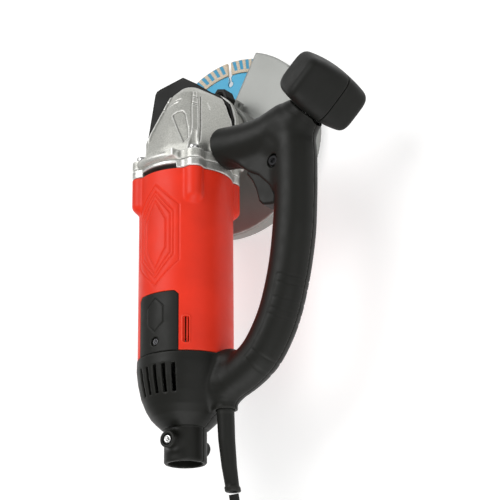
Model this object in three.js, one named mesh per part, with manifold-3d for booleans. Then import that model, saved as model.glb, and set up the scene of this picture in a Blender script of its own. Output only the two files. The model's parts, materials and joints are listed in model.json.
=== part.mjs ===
// Angle grinder, 150 mm class, with a D-handle, a palm knob and a pole socket at the rear.
// Millimetres. Modelling frame: origin where the motor axis meets the spindle axis,
// +X towards the D-handle, +Y along the motor axis towards the gear head, +Z up (the disc is below).
// The finished group is shifted so that its own origin is on the ground under its middle.
import * as THREE from 'three';
import { mergeVertices } from 'three/addons/utils/BufferGeometryUtils.js';
import Module from 'manifold-3d';

const wasm = await Module();
wasm.setup();

// ---------------------------------------------------------------- driving dimensions
const GAP = 0.3; // clearance between touching pieces
const GROUND = -75; // height of the guard lip's edge
const ORIGIN = new THREE.Vector3(38.89, -100.5, GROUND); // ground point under the middle of the tool
const CLOCK = THREE.MathUtils.degToRad(-4.5); // turn of the housing's top features about the motor axis

const HOUSING_R = 36.3;
const HOUSING_WALL = 2.6;
const HOUSING_FRONT = -54.7;
const HOUSING_REAR = -198;
const COVER_FRONT = -152; // front edge of the brush covers
const COVER_HALF = 18.3;
const COVER_SCREW_Y = -189.5;
const LUG_R = 7.2;
const LUG_AT = 24.7; // lug centre, out along X and Z from the motor axis
const LUG_END = -84;

const PLATE_FRONT = -47.8;
const FLANGE_REAR = -47.5;
const FLANGE_FRONT = -40;
const HEAD_BOTTOM = -22;
const BOSS_FACE = 30.2; // side boss faces of the gear housing
const BOSS_Y = -33.5;

const TEETH_CROWN = 24;
const TEETH_PINION = 8;
const CROWN_R = 19.5;
const TOOTH_IN = 13.5; // inner end of the teeth, measured from the axes' crossing
const ADDENDUM = 1.1;
const DEDENDUM = 1.4;

const NECK_R = 24; // clamping neck of the bearing cover
const GUARD_R = 78.8;
const GUARD_TOP = -62.3;
const GUARD_SHEET = 2;
const GUARD_TURN = THREE.MathUtils.degToRad(-18.2); // direction that the guard's middle faces

const BLADE_R = 75;
const BLADE_Z = -69;
const CORE_R = 63.4;
const CORE_T = 1.8;
const SEGMENT_T = 2.4;
const SEGMENTS = 12;
const BLADE_PHASE = THREE.MathUtils.degToRad(4); // turn of the blade's first slot from +Y

const ROTOR_Y = [-78, -142]; // front and rear end of the armature core
const FAN_Y = [-64, -74];

const SHELL_WALL = 2.8;
const SPLIT = GAP / 2;
const TUBE_R = 16;
const TUBE_BORE = 13.1;
const TUBE_END = -276;
const SOCKET_FLOOR = -249.5;
const CLAMP_Y = -261;
const CASING_EDGE = 50; // where the upper rear casing ends and the upper half of the grip begins

const ARM_END = 31.6;
const KNOB = new THREE.Vector3(125.7, -7, 0);
const NECK_TURN = THREE.MathUtils.degToRad(43.8); // neck direction in the handle's plane
const KNOB_TURN = THREE.MathUtils.degToRad(28); // turn of the knob about the neck
const KNOB_HALF = 28.4;
const KNOB_SPLIT = 4.8; // seam between the knob's body and its cap, along the knob's axis
const KNOB_BARREL = 20.8; // half-width at the middle

const BOOT_X = 36;
const BOOT_LEAN = 0.2; // how far the boot leans out along +X for each millimetre that it droops
const CORD_R = 3.7;

// ---------------------------------------------------------------- materials
const paint = (color, roughness, metalness = 0) =>
  new THREE.MeshStandardMaterial({ color, roughness, metalness });
const RED = paint(0xe13c28, 0.45);
const BLACK = paint(0x262722, 0.6);
const RUBBER = paint(0x2b2c27, 0.8);
const CAST = paint(0xbebeb4, 0.5, 0.8);
const STEEL = paint(0x9a9c9c, 0.35, 1);
const DARK_STEEL = paint(0x4a4b4c, 0.45, 1);
const GUARD_GREY = paint(0xa0a39c, 0.5, 0.6);
const BLADE_BLUE = paint(0x3ea0cd, 0.45, 0.2);
const COPPER = paint(0xb4683a, 0.4, 1);
const BRASS = paint(0xc2a050, 0.4, 1);
const CARBON = paint(0x2a2a2c, 0.7);
const LAMINATE = paint(0x6c6e70, 0.5, 0.8);

// ---------------------------------------------------------------- solids
const V = (x, y, z) => new THREE.Vector3(x, y, z);

/** A manifold solid from a closed geometry, turned so that its faces point out. */
function solid(geometry) {
  let g = geometry.clone();
  g.deleteAttribute('normal');
  g.deleteAttribute('uv');
  g = mergeVertices(g, 1e-4);
  const vertProperties = new Float32Array(g.attributes.position.array);
  const triVerts = new Uint32Array(g.index.array);
  const p = [V(0, 0, 0), V(0, 0, 0), V(0, 0, 0)];
  let volume = 0;
  for (let t = 0; t < triVerts.length; t += 3) {
    for (let k = 0; k < 3; k++) p[k].fromArray(vertProperties, triVerts[t + k] * 3);
    volume += p[0].dot(p[1].clone().cross(p[2]));
  }
  if (volume < 0) {
    for (let t = 0; t < triVerts.length; t += 3) {
      [triVerts[t], triVerts[t + 1]] = [triVerts[t + 1], triVerts[t]];
    }
  }
  return new wasm.Manifold(new wasm.Mesh({ numProp: 3, vertProperties, triVerts }));
}

/** The three.js geometry of a manifold solid. */
function geometryOf(body) {
  const m = body.getMesh();
  const g = new THREE.BufferGeometry();
  g.setAttribute('position', new THREE.BufferAttribute(new Float32Array(m.vertProperties), 3));
  g.setIndex(new THREE.BufferAttribute(new Uint32Array(m.triVerts), 1));
  g.computeVertexNormals();
  return g;
}

const join = (...bodies) => bodies.reduce((a, b) => a.add(b));
const cut = (body, ...tools) => tools.reduce((a, b) => a.subtract(b), body);

/** Turns a geometry built about +Y so that its axis is X, Y or Z; +Y becomes the positive axis. */
function along(axis, geometry) {
  if (axis === 'x') geometry.rotateZ(-Math.PI / 2);
  if (axis === 'z') geometry.rotateX(Math.PI / 2);
  return geometry;
}

/** A round bar along an axis from a to b, centred on (u, v): the other two coordinates in order. */
function rod(axis, r, a, b, u = 0, v = 0, sides = 16, rEnd = r) {
  const g = new THREE.CylinderGeometry(rEnd, r, Math.abs(b - a), sides);
  along(axis, g);
  const mid = (a + b) / 2;
  if (axis === 'x') g.translate(mid, u, v);
  if (axis === 'y') g.translate(u, mid, v);
  if (axis === 'z') g.translate(u, v, mid);
  return solid(g);
}

/** A body turned about an axis through the origin from [radius, height] pairs; the profile closes itself. */
function turned(axis, profile, sides = 24) {
  const points = profile.map(([r, h]) => new THREE.Vector2(r, h));
  if (profile[0][0] > 0) points.push(points[0].clone());
  return solid(along(axis, new THREE.LatheGeometry(points, sides)));
}

function block(x0, x1, y0, y1, z0, z1) {
  const g = new THREE.BoxGeometry(x1 - x0, y1 - y0, z1 - z0);
  g.translate((x0 + x1) / 2, (y0 + y1) / 2, (z0 + z1) / 2);
  return solid(g);
}

/** An outline in X and Y, given thickness along Z. */
function plate(outline, z0, z1, curveSegments = 24) {
  const points = () => outline.map(([x, y]) => new THREE.Vector2(x, y));
  const shape = outline instanceof THREE.Shape ? outline : new THREE.Shape(points());
  const g = new THREE.ExtrudeGeometry(shape, { depth: z1 - z0, bevelEnabled: false, curveSegments });
  g.translate(0, 0, z0);
  return solid(g);
}

/** A body through rings of equal point count, closed at both ends. */
function loft(rings) {
  const n = rings[0].length;
  const position = [];
  const index = [];
  for (const ring of rings) for (const p of ring) position.push(p.x, p.y, p.z);
  for (let i = 0; i < rings.length - 1; i++) {
    for (let j = 0; j < n; j++) {
      const a = i * n + j;
      const b = i * n + ((j + 1) % n);
      index.push(a, b, a + n, b, b + n, a + n);
    }
  }
  for (const end of [0, rings.length - 1]) {
    const c = rings[end].reduce((s, p) => s.add(p), V(0, 0, 0)).divideScalar(n);
    position.push(c.x, c.y, c.z);
    const hub = position.length / 3 - 1;
    for (let j = 0; j < n; j++) {
      const a = end * n + j;
      const b = end * n + ((j + 1) % n);
      if (end === 0) index.push(b, a, hub);
      else index.push(a, b, hub);
    }
  }
  const g = new THREE.BufferGeometry();
  g.setAttribute('position', new THREE.BufferAttribute(new Float32Array(position), 3));
  g.setIndex(index);
  return solid(g);
}

/** A round bar of changing radius through [x, y, r] stations in the plane z = 0. */
function limb(stations, grow = 0, sides = 20, steps = 0) {
  const curve = new THREE.CatmullRomCurve3(stations.map(([x, y]) => V(x, y, 0)), false, 'centripetal');
  const count = steps || stations.length * 2;
  const rings = [];
  for (let i = 0; i <= count; i++) {
    const t = i / count;
    const at = curve.getPoint(t);
    const ahead = curve.getTangent(t);
    const side = V(ahead.y, -ahead.x, 0);
    const s = t * (stations.length - 1);
    const k = Math.min(Math.floor(s), stations.length - 2);
    const r = THREE.MathUtils.lerp(stations[k][2], stations[k + 1][2], s - k) + grow;
    rings.push(ringAt(at, side, V(0, 0, 1), r, r, 2, sides));
  }
  return loft(rings);
}

/** Points of a superellipse ring: power 2 is an ellipse, 4 a rounded square. */
function ringAt(centre, u, v, ru, rv, power, sides) {
  const ring = [];
  for (let j = 0; j < sides; j++) {
    const a = (2 * Math.PI * (j + 0.5)) / sides;
    const c = Math.sign(Math.cos(a)) * Math.abs(Math.cos(a)) ** (2 / power);
    const s = Math.sign(Math.sin(a)) * Math.abs(Math.sin(a)) ** (2 / power);
    ring.push(centre.clone().addScaledVector(u, ru * c).addScaledVector(v, rv * s));
  }
  return ring;
}

const turnAbout = (body, x, y, z) => body.rotate([x, y, z].map(THREE.MathUtils.radToDeg));

const assembly = new THREE.Group();
const tool = new THREE.Group();
tool.position.copy(ORIGIN).negate();
assembly.add(tool);

/** Adds one finished piece to the tool as a named mesh. */
function piece(name, body, material) {
  const m = new THREE.Mesh(body.isBufferGeometry ? body : geometryOf(body), material);
  m.name = name;
  tool.add(m);
}

// ---------------------------------------------------------------- gear head
const CORNERS = [[1, 1], [-1, 1], [-1, -1], [1, -1]];

/** The square flange outline with four screw lugs, between two planes across the motor axis. */
function flange(y0, y1) {
  const lugs = CORNERS.map(([i, k]) => rod('y', LUG_R, y0, y1, i * LUG_AT, k * LUG_AT, 12));
  return join(rod('y', HOUSING_R, y0, y1, 0, 0, 32), ...lugs);
}

const screwHoles = (r, y0, y1) =>
  CORNERS.map(([i, k]) => rod('y', r, y0, y1, i * LUG_AT, k * LUG_AT, 8));

// Head stations along Y: bottom half-width, corner half-width, corner height, crown height, bottom height.
const HEAD_STATIONS = [
  [-41, 33, 25.5, 26, 31, -33],
  [-33, 32, 25, 24.5, 29.5, -30],
  [-31, 32, 24.5, 24, 29, HEAD_BOTTOM],
  [-15, 30.5, 21.5, 18.5, 24, HEAD_BOTTOM],
  [0, 28.5, 17.2, 12.8, 18, HEAD_BOTTOM],
  [12, 25.2, 14, 8, 13, HEAD_BOTTOM],
  [20, 19.6, 11.5, 4.7, 9, HEAD_BOTTOM],
  [26, 10.4, 7, 0, 3, HEAD_BOTTOM],
  [28.2, 4.5, 3.4, -6, -4, HEAD_BOTTOM],
];

function headRing([y, wb, wt, zc, zt, zb]) {
  const half = [[wb - 2, zb], [wb, zb + 2], [wt + 0.7, zc - 1.8], [wt - 1.6, zc + 1],
    [wt * 0.5, (zc + 2 * zt) / 3]];
  const right = half.map(([x, z]) => V(x, y, z));
  const left = half.map(([x, z]) => V(-x, y, z)).reverse();
  return [V(0, y, zb), ...right, V(0, y, zt), ...left];
}

/** Raised rib that follows the head's upper corner on one side. */
function cornerRib(side) {
  const rings = HEAD_STATIONS.slice(1, 8).map(([y, , wt, zc]) => {
    const out = V(side * 0.75, 0, 0.66);
    const across = V(side * 0.66, 0, -0.75);
    return ringAt(V(side * (wt - 0.6), y, zc - 0.5), across, out, 3, 1.9, 4, 6);
  });
  return loft(rings);
}

function gearHousing() {
  const sideBoss = (s) => rod('x', 9.5, s > 0 ? 14 : -BOSS_FACE, s > 0 ? BOSS_FACE : -14, BOSS_Y, 0, 16);
  const eyebrow = turnAbout(
    loft([-19, -12, 0, 12, 19].map((x) => {
      const z = Math.sqrt(37.6 ** 2 - x * x);
      return ringAt(V(x, -44.2, z - 3), V(0, 1, 0), V(0, 0, 1), 3.1, Math.abs(x) > 18 ? 2.6 : 3.6, 2.6, 8);
    })), 0, CLOCK, 0);
  const nose = rod('z', 9, 4, 17.2, 0, 0, 16);
  const shell = join(
    loft(HEAD_STATIONS.map(headRing)), flange(FLANGE_REAR, FLANGE_FRONT), cornerRib(1), cornerRib(-1),
    sideBoss(1), sideBoss(-1), eyebrow, nose);
  const recesses = CORNERS.map(([i, k]) => rod('y', 4.7, FLANGE_FRONT + 0.2, -24, i * LUG_AT, k * LUG_AT, 10));
  return cut(
    shell,
    rod('z', 20.4, -40, -2.7, 0, 0, 28), // crown gear chamber, open below
    rod('y', 9.6, -60, -8.5, 0, 0, 16), // pinion tunnel
    rod('y', 17.5, -60, -40.5, 0, 0, 20), // seat over the bearing plate's hub
    rod('z', 6.5, -10, 12.5, 0, 0, 14), // upper spindle bearing seat
    ...[1, -1].map((s) => rod('x', 3.7, s > 0 ? 15 : -40, s > 0 ? 40 : -15, BOSS_Y, 0, 10)),
    rod('x', 5.4, -40, -26.2, -10, -12, 14), // lock button recess
    rod('x', 2.6, -40, -15, -10, -12, 8),
    ...recesses, ...screwHoles(2.4, -60, -30));
}

function bearingPlate() {
  const body = join(flange(HOUSING_FRONT + GAP, PLATE_FRONT), rod('y', 17, -62, PLATE_FRONT, 0, 0, 20));
  const airSlot = turnAbout(block(-16.6, 16.6, -60, -50.6, 21, 50), 0, CLOCK, 0);
  return cut(body, rod('y', 13.3, -70, -49.5, 0, 0, 20), rod('y', 7.5, -60, -40, 0, 0, 12),
    airSlot, ...screwHoles(2.4, -60, -40));
}

/** Cap screw along Y at one corner: head in front of the flange, shank back into the housing lug. */
function gearcaseScrew([i, k]) {
  const at = [i * LUG_AT, k * LUG_AT];
  const body = join(rod('y', 1.9, -79, FLANGE_FRONT + 1, ...at, 8),
    rod('y', 3.9, FLANGE_FRONT + 0.4, -35.6, ...at, 12));
  return cut(body, rod('y', 1.9, -37.6, -30, ...at, 6));
}

function bearingCover() {
  return turned('z', [[12, -24.6], [29.4, -24.6], [29.4, -30], [NECK_R, -31.5], [NECK_R, -57],
    [11, -57], [11, -45.5], [16.3, -45.5], [16.3, -33.5], [12, -33.5]], 24);
}

/** Flat splash plate held between the gear housing and the bearing cover. */
function chipShield() {
  const s = new THREE.Shape();
  s.moveTo(29.6, -22);
  s.lineTo(29.6, 0);
  s.absarc(0, 0, 29.6, 0, THREE.MathUtils.degToRad(72), false);
  s.lineTo(-6.4, 40.2);
  s.lineTo(-19.6, 48.8);
  s.lineTo(-42, 44);
  s.quadraticCurveTo(-46.6, 43.2, -47.4, 40);
  s.lineTo(-57.6, -16);
  s.lineTo(-40, -29.5);
  s.lineTo(22, -29.5);
  s.closePath();
  return cut(plate(s, -24.3, -22.3, 6), rod('z', 20.4, -40, 0, 0, 0, 24));
}

// ---------------------------------------------------------------- motor housing and covers
function housingWindow(sign, gap) {
  const s = new THREE.Shape();
  const w = COVER_HALF + gap;
  const top = COVER_FRONT + gap;
  const r = 2.6;
  s.moveTo(-w, HOUSING_REAR - 4);
  s.lineTo(w, HOUSING_REAR - 4);
  s.lineTo(w, top - r);
  s.quadraticCurveTo(w, top, w - r, top);
  s.lineTo(-w + r, top);
  s.quadraticCurveTo(-w, top, -w, top - r);
  s.closePath();
  return turnAbout(sign > 0 ? plate(s, 20, 60, 4) : plate(s, -60, -20, 4), 0, CLOCK, 0);
}

function motorHousing() {
  const lug = ([i, k]) => {
    const at = V(i * LUG_AT, 0, k * LUG_AT);
    const ring = (y, r, pull) =>
      ringAt(at.clone().multiplyScalar(1 - pull).setY(y), V(1, 0, 0), V(0, 0, 1), r, r, 2, 12);
    return loft([ring(HOUSING_FRONT, LUG_R, 0), ring(LUG_END + 7, LUG_R - 0.3, 0.01),
      ring(LUG_END + 2, LUG_R - 1.2, 0.05), ring(LUG_END, LUG_R - 3, 0.14)]);
  };
  const bore = HOUSING_R - HOUSING_WALL;
  const shell = cut(join(rod('y', HOUSING_R, HOUSING_REAR, HOUSING_FRONT, 0, 0, 32), ...CORNERS.map(lug)),
    rod('y', bore, HOUSING_REAR - 9, -50, 0, 0, 32));
  const bridge = join(block(-bore - 1, bore + 1, -196, -190, -7, 7), rod('y', 13.5, -197.5, -188, 0, 0, 16));
  const slot = turnAbout(block(-2.3, 2.3, -192.5, -172, 35, 45), 0, THREE.MathUtils.degToRad(35.7), 0);
  return cut(join(shell, bridge.intersect(rod('y', bore + 1, -200, -180, 0, 0, 32))),
    housingWindow(1, 0.35), housingWindow(-1, 0.35), slot, rod('y', 11.3, -200, -189, 0, 0, 16),
    rod('y', 5.2, -200, -180, 0, 0, 10), ...screwHoles(2.1, -81, -50));
}

function brushCover(sign) {
  const skin = cut(rod('y', HOUSING_R, HOUSING_REAR, -140, 0, 0, 32),
    rod('y', HOUSING_R - HOUSING_WALL, HOUSING_REAR - 9, -130, 0, 0, 32));
  const recess = rod('z', 3.4, sign * 35.2, sign * 50, 0, COVER_SCREW_Y, 12);
  const seat = turnAbout(join(recess, rod('z', 1.7, sign * 20, sign * 50, 0, COVER_SCREW_Y, 8)), 0, CLOCK, 0);
  return cut(skin.intersect(housingWindow(sign, 0)), seat);
}

function coverScrew(sign) {
  const head = rod('z', 2.9, sign * 35.5, sign * 36.9, 0, COVER_SCREW_Y, 12);
  const shank = rod('z', 1.4, sign * 26, sign * 35.6, 0, COVER_SCREW_Y, 8);
  const hex = rod('z', 1.3, sign * 36.1, sign * 39, 0, COVER_SCREW_Y, 6);
  return turnAbout(cut(join(head, shank), hex), 0, CLOCK, 0);
}

// ------------------------------------------------------------ clamshell: rear casing, D-handle, pole socket
// Each station is [x, y, radius].
const GRIP = [[16, -226, 12.5], [28, -223.5, 14], [42, -218.3, 15], [55, -211.5, 15.2], [66.5, -202.5, 15.2],
  [76, -190, 15.2], [84.2, -173, 15.2], [90.5, -152.5, 15.3], [94.8, -133, 15.5], [98, -112, 16],
  [99.8, -91, 16.1], [100.3, -70, 16.3], [100, -48, 16.5], [98.5, -32, 15.5]];
const ARM = [[ARM_END, -33.5, 15.6], [34, -33.5, 16.4], [45, -34.4, 16.6], [62, -34.4, 16.5], [78, -32.3, 16.6],
  [93, -27, 16.8], [104, -22, 13]];
const NECK = [[88, -43.4, 13], [100, -31.8, 16], [107, -25, 15.2], [110.2, -21.9, 14.6]];
const BOSS_LIMB = [[40, -206, 12], [37.5, -219, 13.5], [36, -230, 10.6], [BOOT_X, -234, 9.2],
  [BOOT_X, -240, 9.2]];
const DOME = [[36.7, HOUSING_REAR - GAP], [36.9, -206], [35.7, -216], [33.3, -227], [29.6, -236], [26, -242],
  [22.2, -246],
  [17.8, -250], [TUBE_R, -250.4], [TUBE_R, TUBE_END + 1.2], [TUBE_R - 1, TUBE_END]];
const WEB = [[44, -44], [55, -54], [63, -61], [73, -66.5], [86, -80], [98, -70], [90, -40], [60, -36]];
// Screws that hold the two halves: place in X and Y, and the side that the head is on.
const HANDLE_SCREWS = [[87.3, -58, 1], [95, -131, -1], [70, -198.5, -1]];
const TRIGGER_PIN = [69, -60.5];
const VENT_Y = [-228, -207];
const VENT_PITCH = THREE.MathUtils.degToRad(12.5);

/** The gear case's flange with clearance, where the handle's arm end is notched round it. */
function grownFlange() {
  const lugs = CORNERS.map(([i, k]) => rod('y', LUG_R + 0.6, -64, FLANGE_FRONT + 0.4, i * LUG_AT,
    k * LUG_AT, 12));
  return join(rod('y', HOUSING_R + 0.7, -64, FLANGE_FRONT + 0.4, 0, 0, 28), ...lugs);
}

function clamshellSolid() {
  const dome = turned('y', [[0, HOUSING_REAR - GAP], ...DOME, [0, TUBE_END]], 28);
  const bosses = [1, -1].map((s) => join(rod('z', 8.2, 0, s * 18.4, 0, CLAMP_Y, 14),
    rod('z', 6.3, 0, s * 23.8, 0, CLAMP_Y, 14)));
  const body = join(dome, limb(GRIP, 0, 12, 17), limb(ARM, 0, 12, 6), limb(NECK, 0, 12, 3),
    limb(BOSS_LIMB, 0, 12, 4), plate(WEB, -10.5, 10.5), ...bosses);
  const inner = DOME.slice(0, 6).map(([r, y]) => [r - SHELL_WALL, y + (y < -240 ? 2 : 0)]);
  const hollow = turned('y', [[0, HOUSING_REAR + 5], [HOUSING_R - HOUSING_WALL, HOUSING_REAR + 5], ...inner,
    [0, -240]], 16);
  const clearMotor = rod('y', HOUSING_R + 2, HOUSING_REAR - GAP, -60, 0, 0, 28);
  const gripHollow = limb(GRIP.slice(0, 13), -SHELL_WALL, 8, 11);
  const armInside = [[ARM_END + 3.6, -34.4, 16.6], ...ARM.slice(3, 6)];
  const armHollow = limb(armInside, -SHELL_WALL, 8, 3);
  const bootBore = rod('y', 7, -245, -216, BOOT_X, 0, 14);
  const screwPosts = HANDLE_SCREWS.map(([x, y]) => rod('z', 7.2, -16, 16, x, y, 12));
  const inside = cut(join(hollow, gripHollow, armHollow), ...screwPosts);
  return cut(body, clearMotor, inside, bootBore, rod('y', TUBE_BORE, -290, SOCKET_FLOOR, 0, 0, 24),
    grownFlange());
}

function clamshellCuts() {
  const knobBore = neckRod(4.4, -46, -10);
  const ventRow = (z0, z1, clock) => [-2, -1, 0, 1, 2].map((i) => turnAbout(
    block(-1.5, 1.5, VENT_Y[0], VENT_Y[1], z0, z1), 0, clock + i * VENT_PITCH, 0));
  const vents = [...ventRow(18, 60, CLOCK), ...ventRow(-60, -18, 0)];
  const screws = HANDLE_SCREWS.map(([x, y, s]) => join(rod('z', 5.4, s * 8.6, s * 40, x, y, 14),
    rod('z', 2.3, s * -9, s * 30, x, y, 8)));
  const trigger = plate([[52, -64], [60, -54.5], [75, -54.5], [84, -66], [93, -76], [96, -96], [80, -98],
    [60, -90]], -8.6, 8.6);
  const triggerPin = rod('z', 1.8, -9.9, 9.9, ...TRIGGER_PIN, 8);
  const clampHoles = join(rod('z', 2.4, -60, 60, 0, CLAMP_Y, 8), rod('z', 4.2, 22, 60, 0, CLAMP_Y, 12),
    rod('z', 4.2, -60, -22, 0, CLAMP_Y, 12));
  const armHole = rod('x', 3.7, 20, 50, BOSS_Y, 0, 10);
  return [knobBore, ...vents, ...screws, trigger, triggerPin, clampHoles, armHole];
}

function clamshell(side) {
  const whole = cut(clamshellSolid(), ...clamshellCuts());
  const keep = side > 0 ? block(-60, 200, -300, 60, SPLIT, 80) : block(-60, 200, -300, 60, -80, -SPLIT);
  return whole.intersect(keep);
}

function handleScrew([x, y, s]) {
  const body = join(rod('z', 4.2, s * 8.9, s * 11.9, x, y, 12), rod('z', 1.9, s * -8, s * 9.5, x, y, 8));
  return cut(body, rod('z', 1.8, s * 10.2, s * 14, x, y, 6));
}

/** Set screw in the pole socket's wall, tip just clear of the bore. */
function clampScrew(side) {
  const body = join(rod('z', 2.1, side * 13.6, side * 22.6, 0, CLAMP_Y, 8),
    rod('z', 3.2, side * 22.3, side * 23.5, 0, CLAMP_Y, 12));
  return cut(body, rod('z', 1.5, side * 22.7, side * 26, 0, CLAMP_Y, 6));
}

function trigger() {
  const s = new THREE.Shape();
  s.moveTo(62.5, -56.4);
  s.lineTo(60.6, -62.2);
  s.quadraticCurveTo(67.6, -71, 70.6, -81.6);
  s.quadraticCurveTo(72.6, -89.4, 80, -90.6);
  s.lineTo(86.6, -90.9);
  s.lineTo(87.6, -84);
  s.quadraticCurveTo(83.5, -72, 73.4, -63);
  s.lineTo(71.6, -56.4);
  s.closePath();
  return cut(plate(s, -8.2, 8.2, 4), rod('z', 1.9, -20, 20, ...TRIGGER_PIN, 8));
}

function switchBody() {
  return join(block(93.5, 106, -114, -82, -7, 7), block(90.6, 94, -96, -88, -3, 3));
}

// ---------------------------------------------------------------- palm knob
const NECK_DIR = V(Math.cos(NECK_TURN), Math.sin(NECK_TURN), 0);
const KNOB_DIR = V(Math.sin(NECK_TURN), -Math.cos(NECK_TURN), 0).multiplyScalar(Math.sin(KNOB_TURN))
  .addScaledVector(V(0, 0, -1), Math.cos(KNOB_TURN));

/** A round bar along the handle's neck, between two distances from the knob's middle. */
function neckRod(r, from, to) {
  const side = V(-NECK_DIR.y, NECK_DIR.x, 0);
  const station = (t) => ringAt(KNOB.clone().addScaledVector(NECK_DIR, t), side, V(0, 0, 1), r, r, 2, 10);
  return loft([station(from), station(to)]);
}

/** Half-width of the barrelled knob at a distance along its axis. */
function knobWidth(t) {
  const end = Math.abs(t) / KNOB_HALF;
  const barrel = KNOB_BARREL - 4.3 * end * end;
  const rounding = end > 0.85 ? 3.8 * ((end - 0.85) / 0.15) ** 2.2 : 0;
  return barrel - rounding;
}

function knobPart(from, to) {
  const across = KNOB_DIR.clone().cross(NECK_DIR);
  const between = [-0.965, -0.92, -0.85, -0.5, 0, 0.5, 0.85, 0.92, 0.965].map((k) => k * KNOB_HALF);
  const ts = [from, ...between.filter((t) => t > from + 0.5 && t < to - 0.5), to];
  return loft(ts.map((t) => {
    const centre = KNOB.clone().addScaledVector(KNOB_DIR, t);
    return ringAt(centre, NECK_DIR, across, knobWidth(t), knobWidth(t), 3.4, 20);
  }));
}

const knobBody = () => cut(knobPart(-KNOB_HALF, KNOB_SPLIT - GAP / 2), neckRod(4.4, -40, -6));
const knobBolt = () => neckRod(4, -44, -7);

// ---------------------------------------------------------------- guard and disc
function guard() {
  const s = new THREE.Shape();
  s.absarc(0, 0, GUARD_R, -Math.PI / 2, Math.PI / 2, false);
  s.lineTo(-9.1, 28.8);
  s.absarc(0, 0, 30.2, THREE.MathUtils.degToRad(107.5), THREE.MathUtils.degToRad(252.5), false);
  s.closePath();
  const sheet = plate(s, GUARD_TOP - GUARD_SHEET, GUARD_TOP, 18);
  const ring = turned('z', [[GUARD_R - GUARD_SHEET, GROUND], [GUARD_R, GROUND], [GUARD_R, GUARD_TOP - 0.4],
    [GUARD_R - GUARD_SHEET, GUARD_TOP - 0.4]], 36);
  const skirt = ring.intersect(block(0, 100, -100, 100, GROUND - 1, GUARD_TOP));
  const band = rod('z', 27.2, GUARD_TOP - 1, -47, 0, 0, 28);
  const ear = block(-5, 5, 25, 33.5, -60, -48);
  const earSplit = block(-1, 1, 20, 40, -61, -40);
  const earHole = rod('x', 2, -20, 20, 30, -54, 8);
  const whole = cut(join(sheet, skirt, band, ear), rod('z', NECK_R + 0.4, -90, -20, 0, 0, 28), earSplit,
    earHole);
  return turnAbout(whole, 0, 0, GUARD_TURN);
}

const LEVER_PIVOT = [8.6, 29.4];

/** Clamping lever beside the guard's ear, turning about an upright pin. */
function guardLever() {
  const s = new THREE.Shape();
  s.moveTo(3, 26);
  s.lineTo(12.4, 22.4);
  s.lineTo(16, 27.5);
  s.lineTo(13, 35);
  s.lineTo(6, 36.6);
  s.lineTo(1.6, 31.6);
  s.closePath();
  return cut(plate(s, -46.4, -34, 6), rod('z', 2.2, -60, -20, ...LEVER_PIVOT, 8));
}

function blade() {
  const rimIn = CORE_R - 1;
  const core = rod('z', CORE_R, BLADE_Z - CORE_T / 2, BLADE_Z + CORE_T / 2, 0, 0, 36);
  const rim = cut(rod('z', BLADE_R, BLADE_Z - SEGMENT_T / 2, BLADE_Z + SEGMENT_T / 2, 0, 0, 36),
    rod('z', rimIn, BLADE_Z - 9, BLADE_Z + 9, 0, 0, 36));
  const gaps = [];
  for (let i = 0; i < SEGMENTS; i++) {
    const turn = (2 * Math.PI * i) / SEGMENTS + BLADE_PHASE;
    const slot = join(block(-1.7, 1.7, CORE_R - 1.5, BLADE_R + 3, -90, -50),
      block(-0.9, 0.9, 56, 66, -90, -50), rod('z', 2.4, -90, -50, 0, 55.5, 6));
    gaps.push(turnAbout(slot, 0, 0, turn));
  }
  return cut(join(core, rim), rod('z', 11.11, -90, -50, 0, 0, 20), ...gaps);
}

function spindle() {
  return turned('z', [[0, 12], [4.8, 12], [5, 11.5], [5, -5.5], [6, -5.5], [6, -16.4], [7.5, -16.4], [7.5, -56],
    [10, -57.4], [10, -59.9], [7, -59.9], [7, -74.2], [0, -74.2]], 16);
}

function innerFlange() {
  return turned('z', [[7.3, -60.2], [19, -60.2], [20.5, -62], [20.5, -67.7], [10.8, -67.7], [10.8, -69.9],
    [7.3, -69.9]], 20);
}

function lockNut() {
  const body = turned('z', [[7.3, -70.3], [20.5, -70.3], [20.5, -72.4], [14, -74.5], [7.3, -74.5]], 20);
  return cut(body, rod('z', 2.1, -80, -71.8, 13.6, 0, 8), rod('z', 2.1, -80, -71.8, -13.6, 0, 8));
}

const ballRace = (axis, rIn, rOut, a, b) => turned(axis, [[rIn, a], [rOut, a], [rOut, b], [rIn, b]], 20);

/** Crown gear: a toothed cone that meets the pinion's cone at the axes' crossing. */
function crownGear() {
  const pitch = (2 * Math.PI) / TEETH_CROWN;
  const cone = (r, up) => -r / 3 + up;
  const rings = [];
  for (let i = 0; i < TEETH_CROWN; i++) {
    // gap centred on -Y, where the pinion's lowest tooth sits
    const mid = -Math.PI / 2 + pitch * (i + 0.5);
    for (const [part, up] of [[-0.27, -DEDENDUM], [-0.13, ADDENDUM], [0.13, ADDENDUM], [0.27, -DEDENDUM]]) {
      const a = mid + part * pitch;
      const at = (r, z) => V(r * Math.cos(a), r * Math.sin(a), z);
      rings.push([at(6.3, -16), at(CROWN_R, -16), at(CROWN_R, cone(CROWN_R, up)),
        at(TOOTH_IN, cone(TOOTH_IN, up)),
        at(6.3, -8)]);
    }
  }
  return wheelOf(rings);
}

/** Joins sections set around an axis into one closed ring-shaped body. */
function wheelOf(sections) {
  const n = sections[0].length;
  const position = [];
  const index = [];
  for (const s of sections) for (const p of s) position.push(p.x, p.y, p.z);
  for (let i = 0; i < sections.length; i++) {
    const next = (i + 1) % sections.length;
    for (let j = 0; j < n; j++) {
      const k = (j + 1) % n;
      index.push(i * n + j, i * n + k, next * n + j, i * n + k, next * n + k, next * n + j);
    }
  }
  const g = new THREE.BufferGeometry();
  g.setAttribute('position', new THREE.BufferAttribute(new Float32Array(position), 3));
  g.setIndex(index);
  return solid(g);
}

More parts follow.
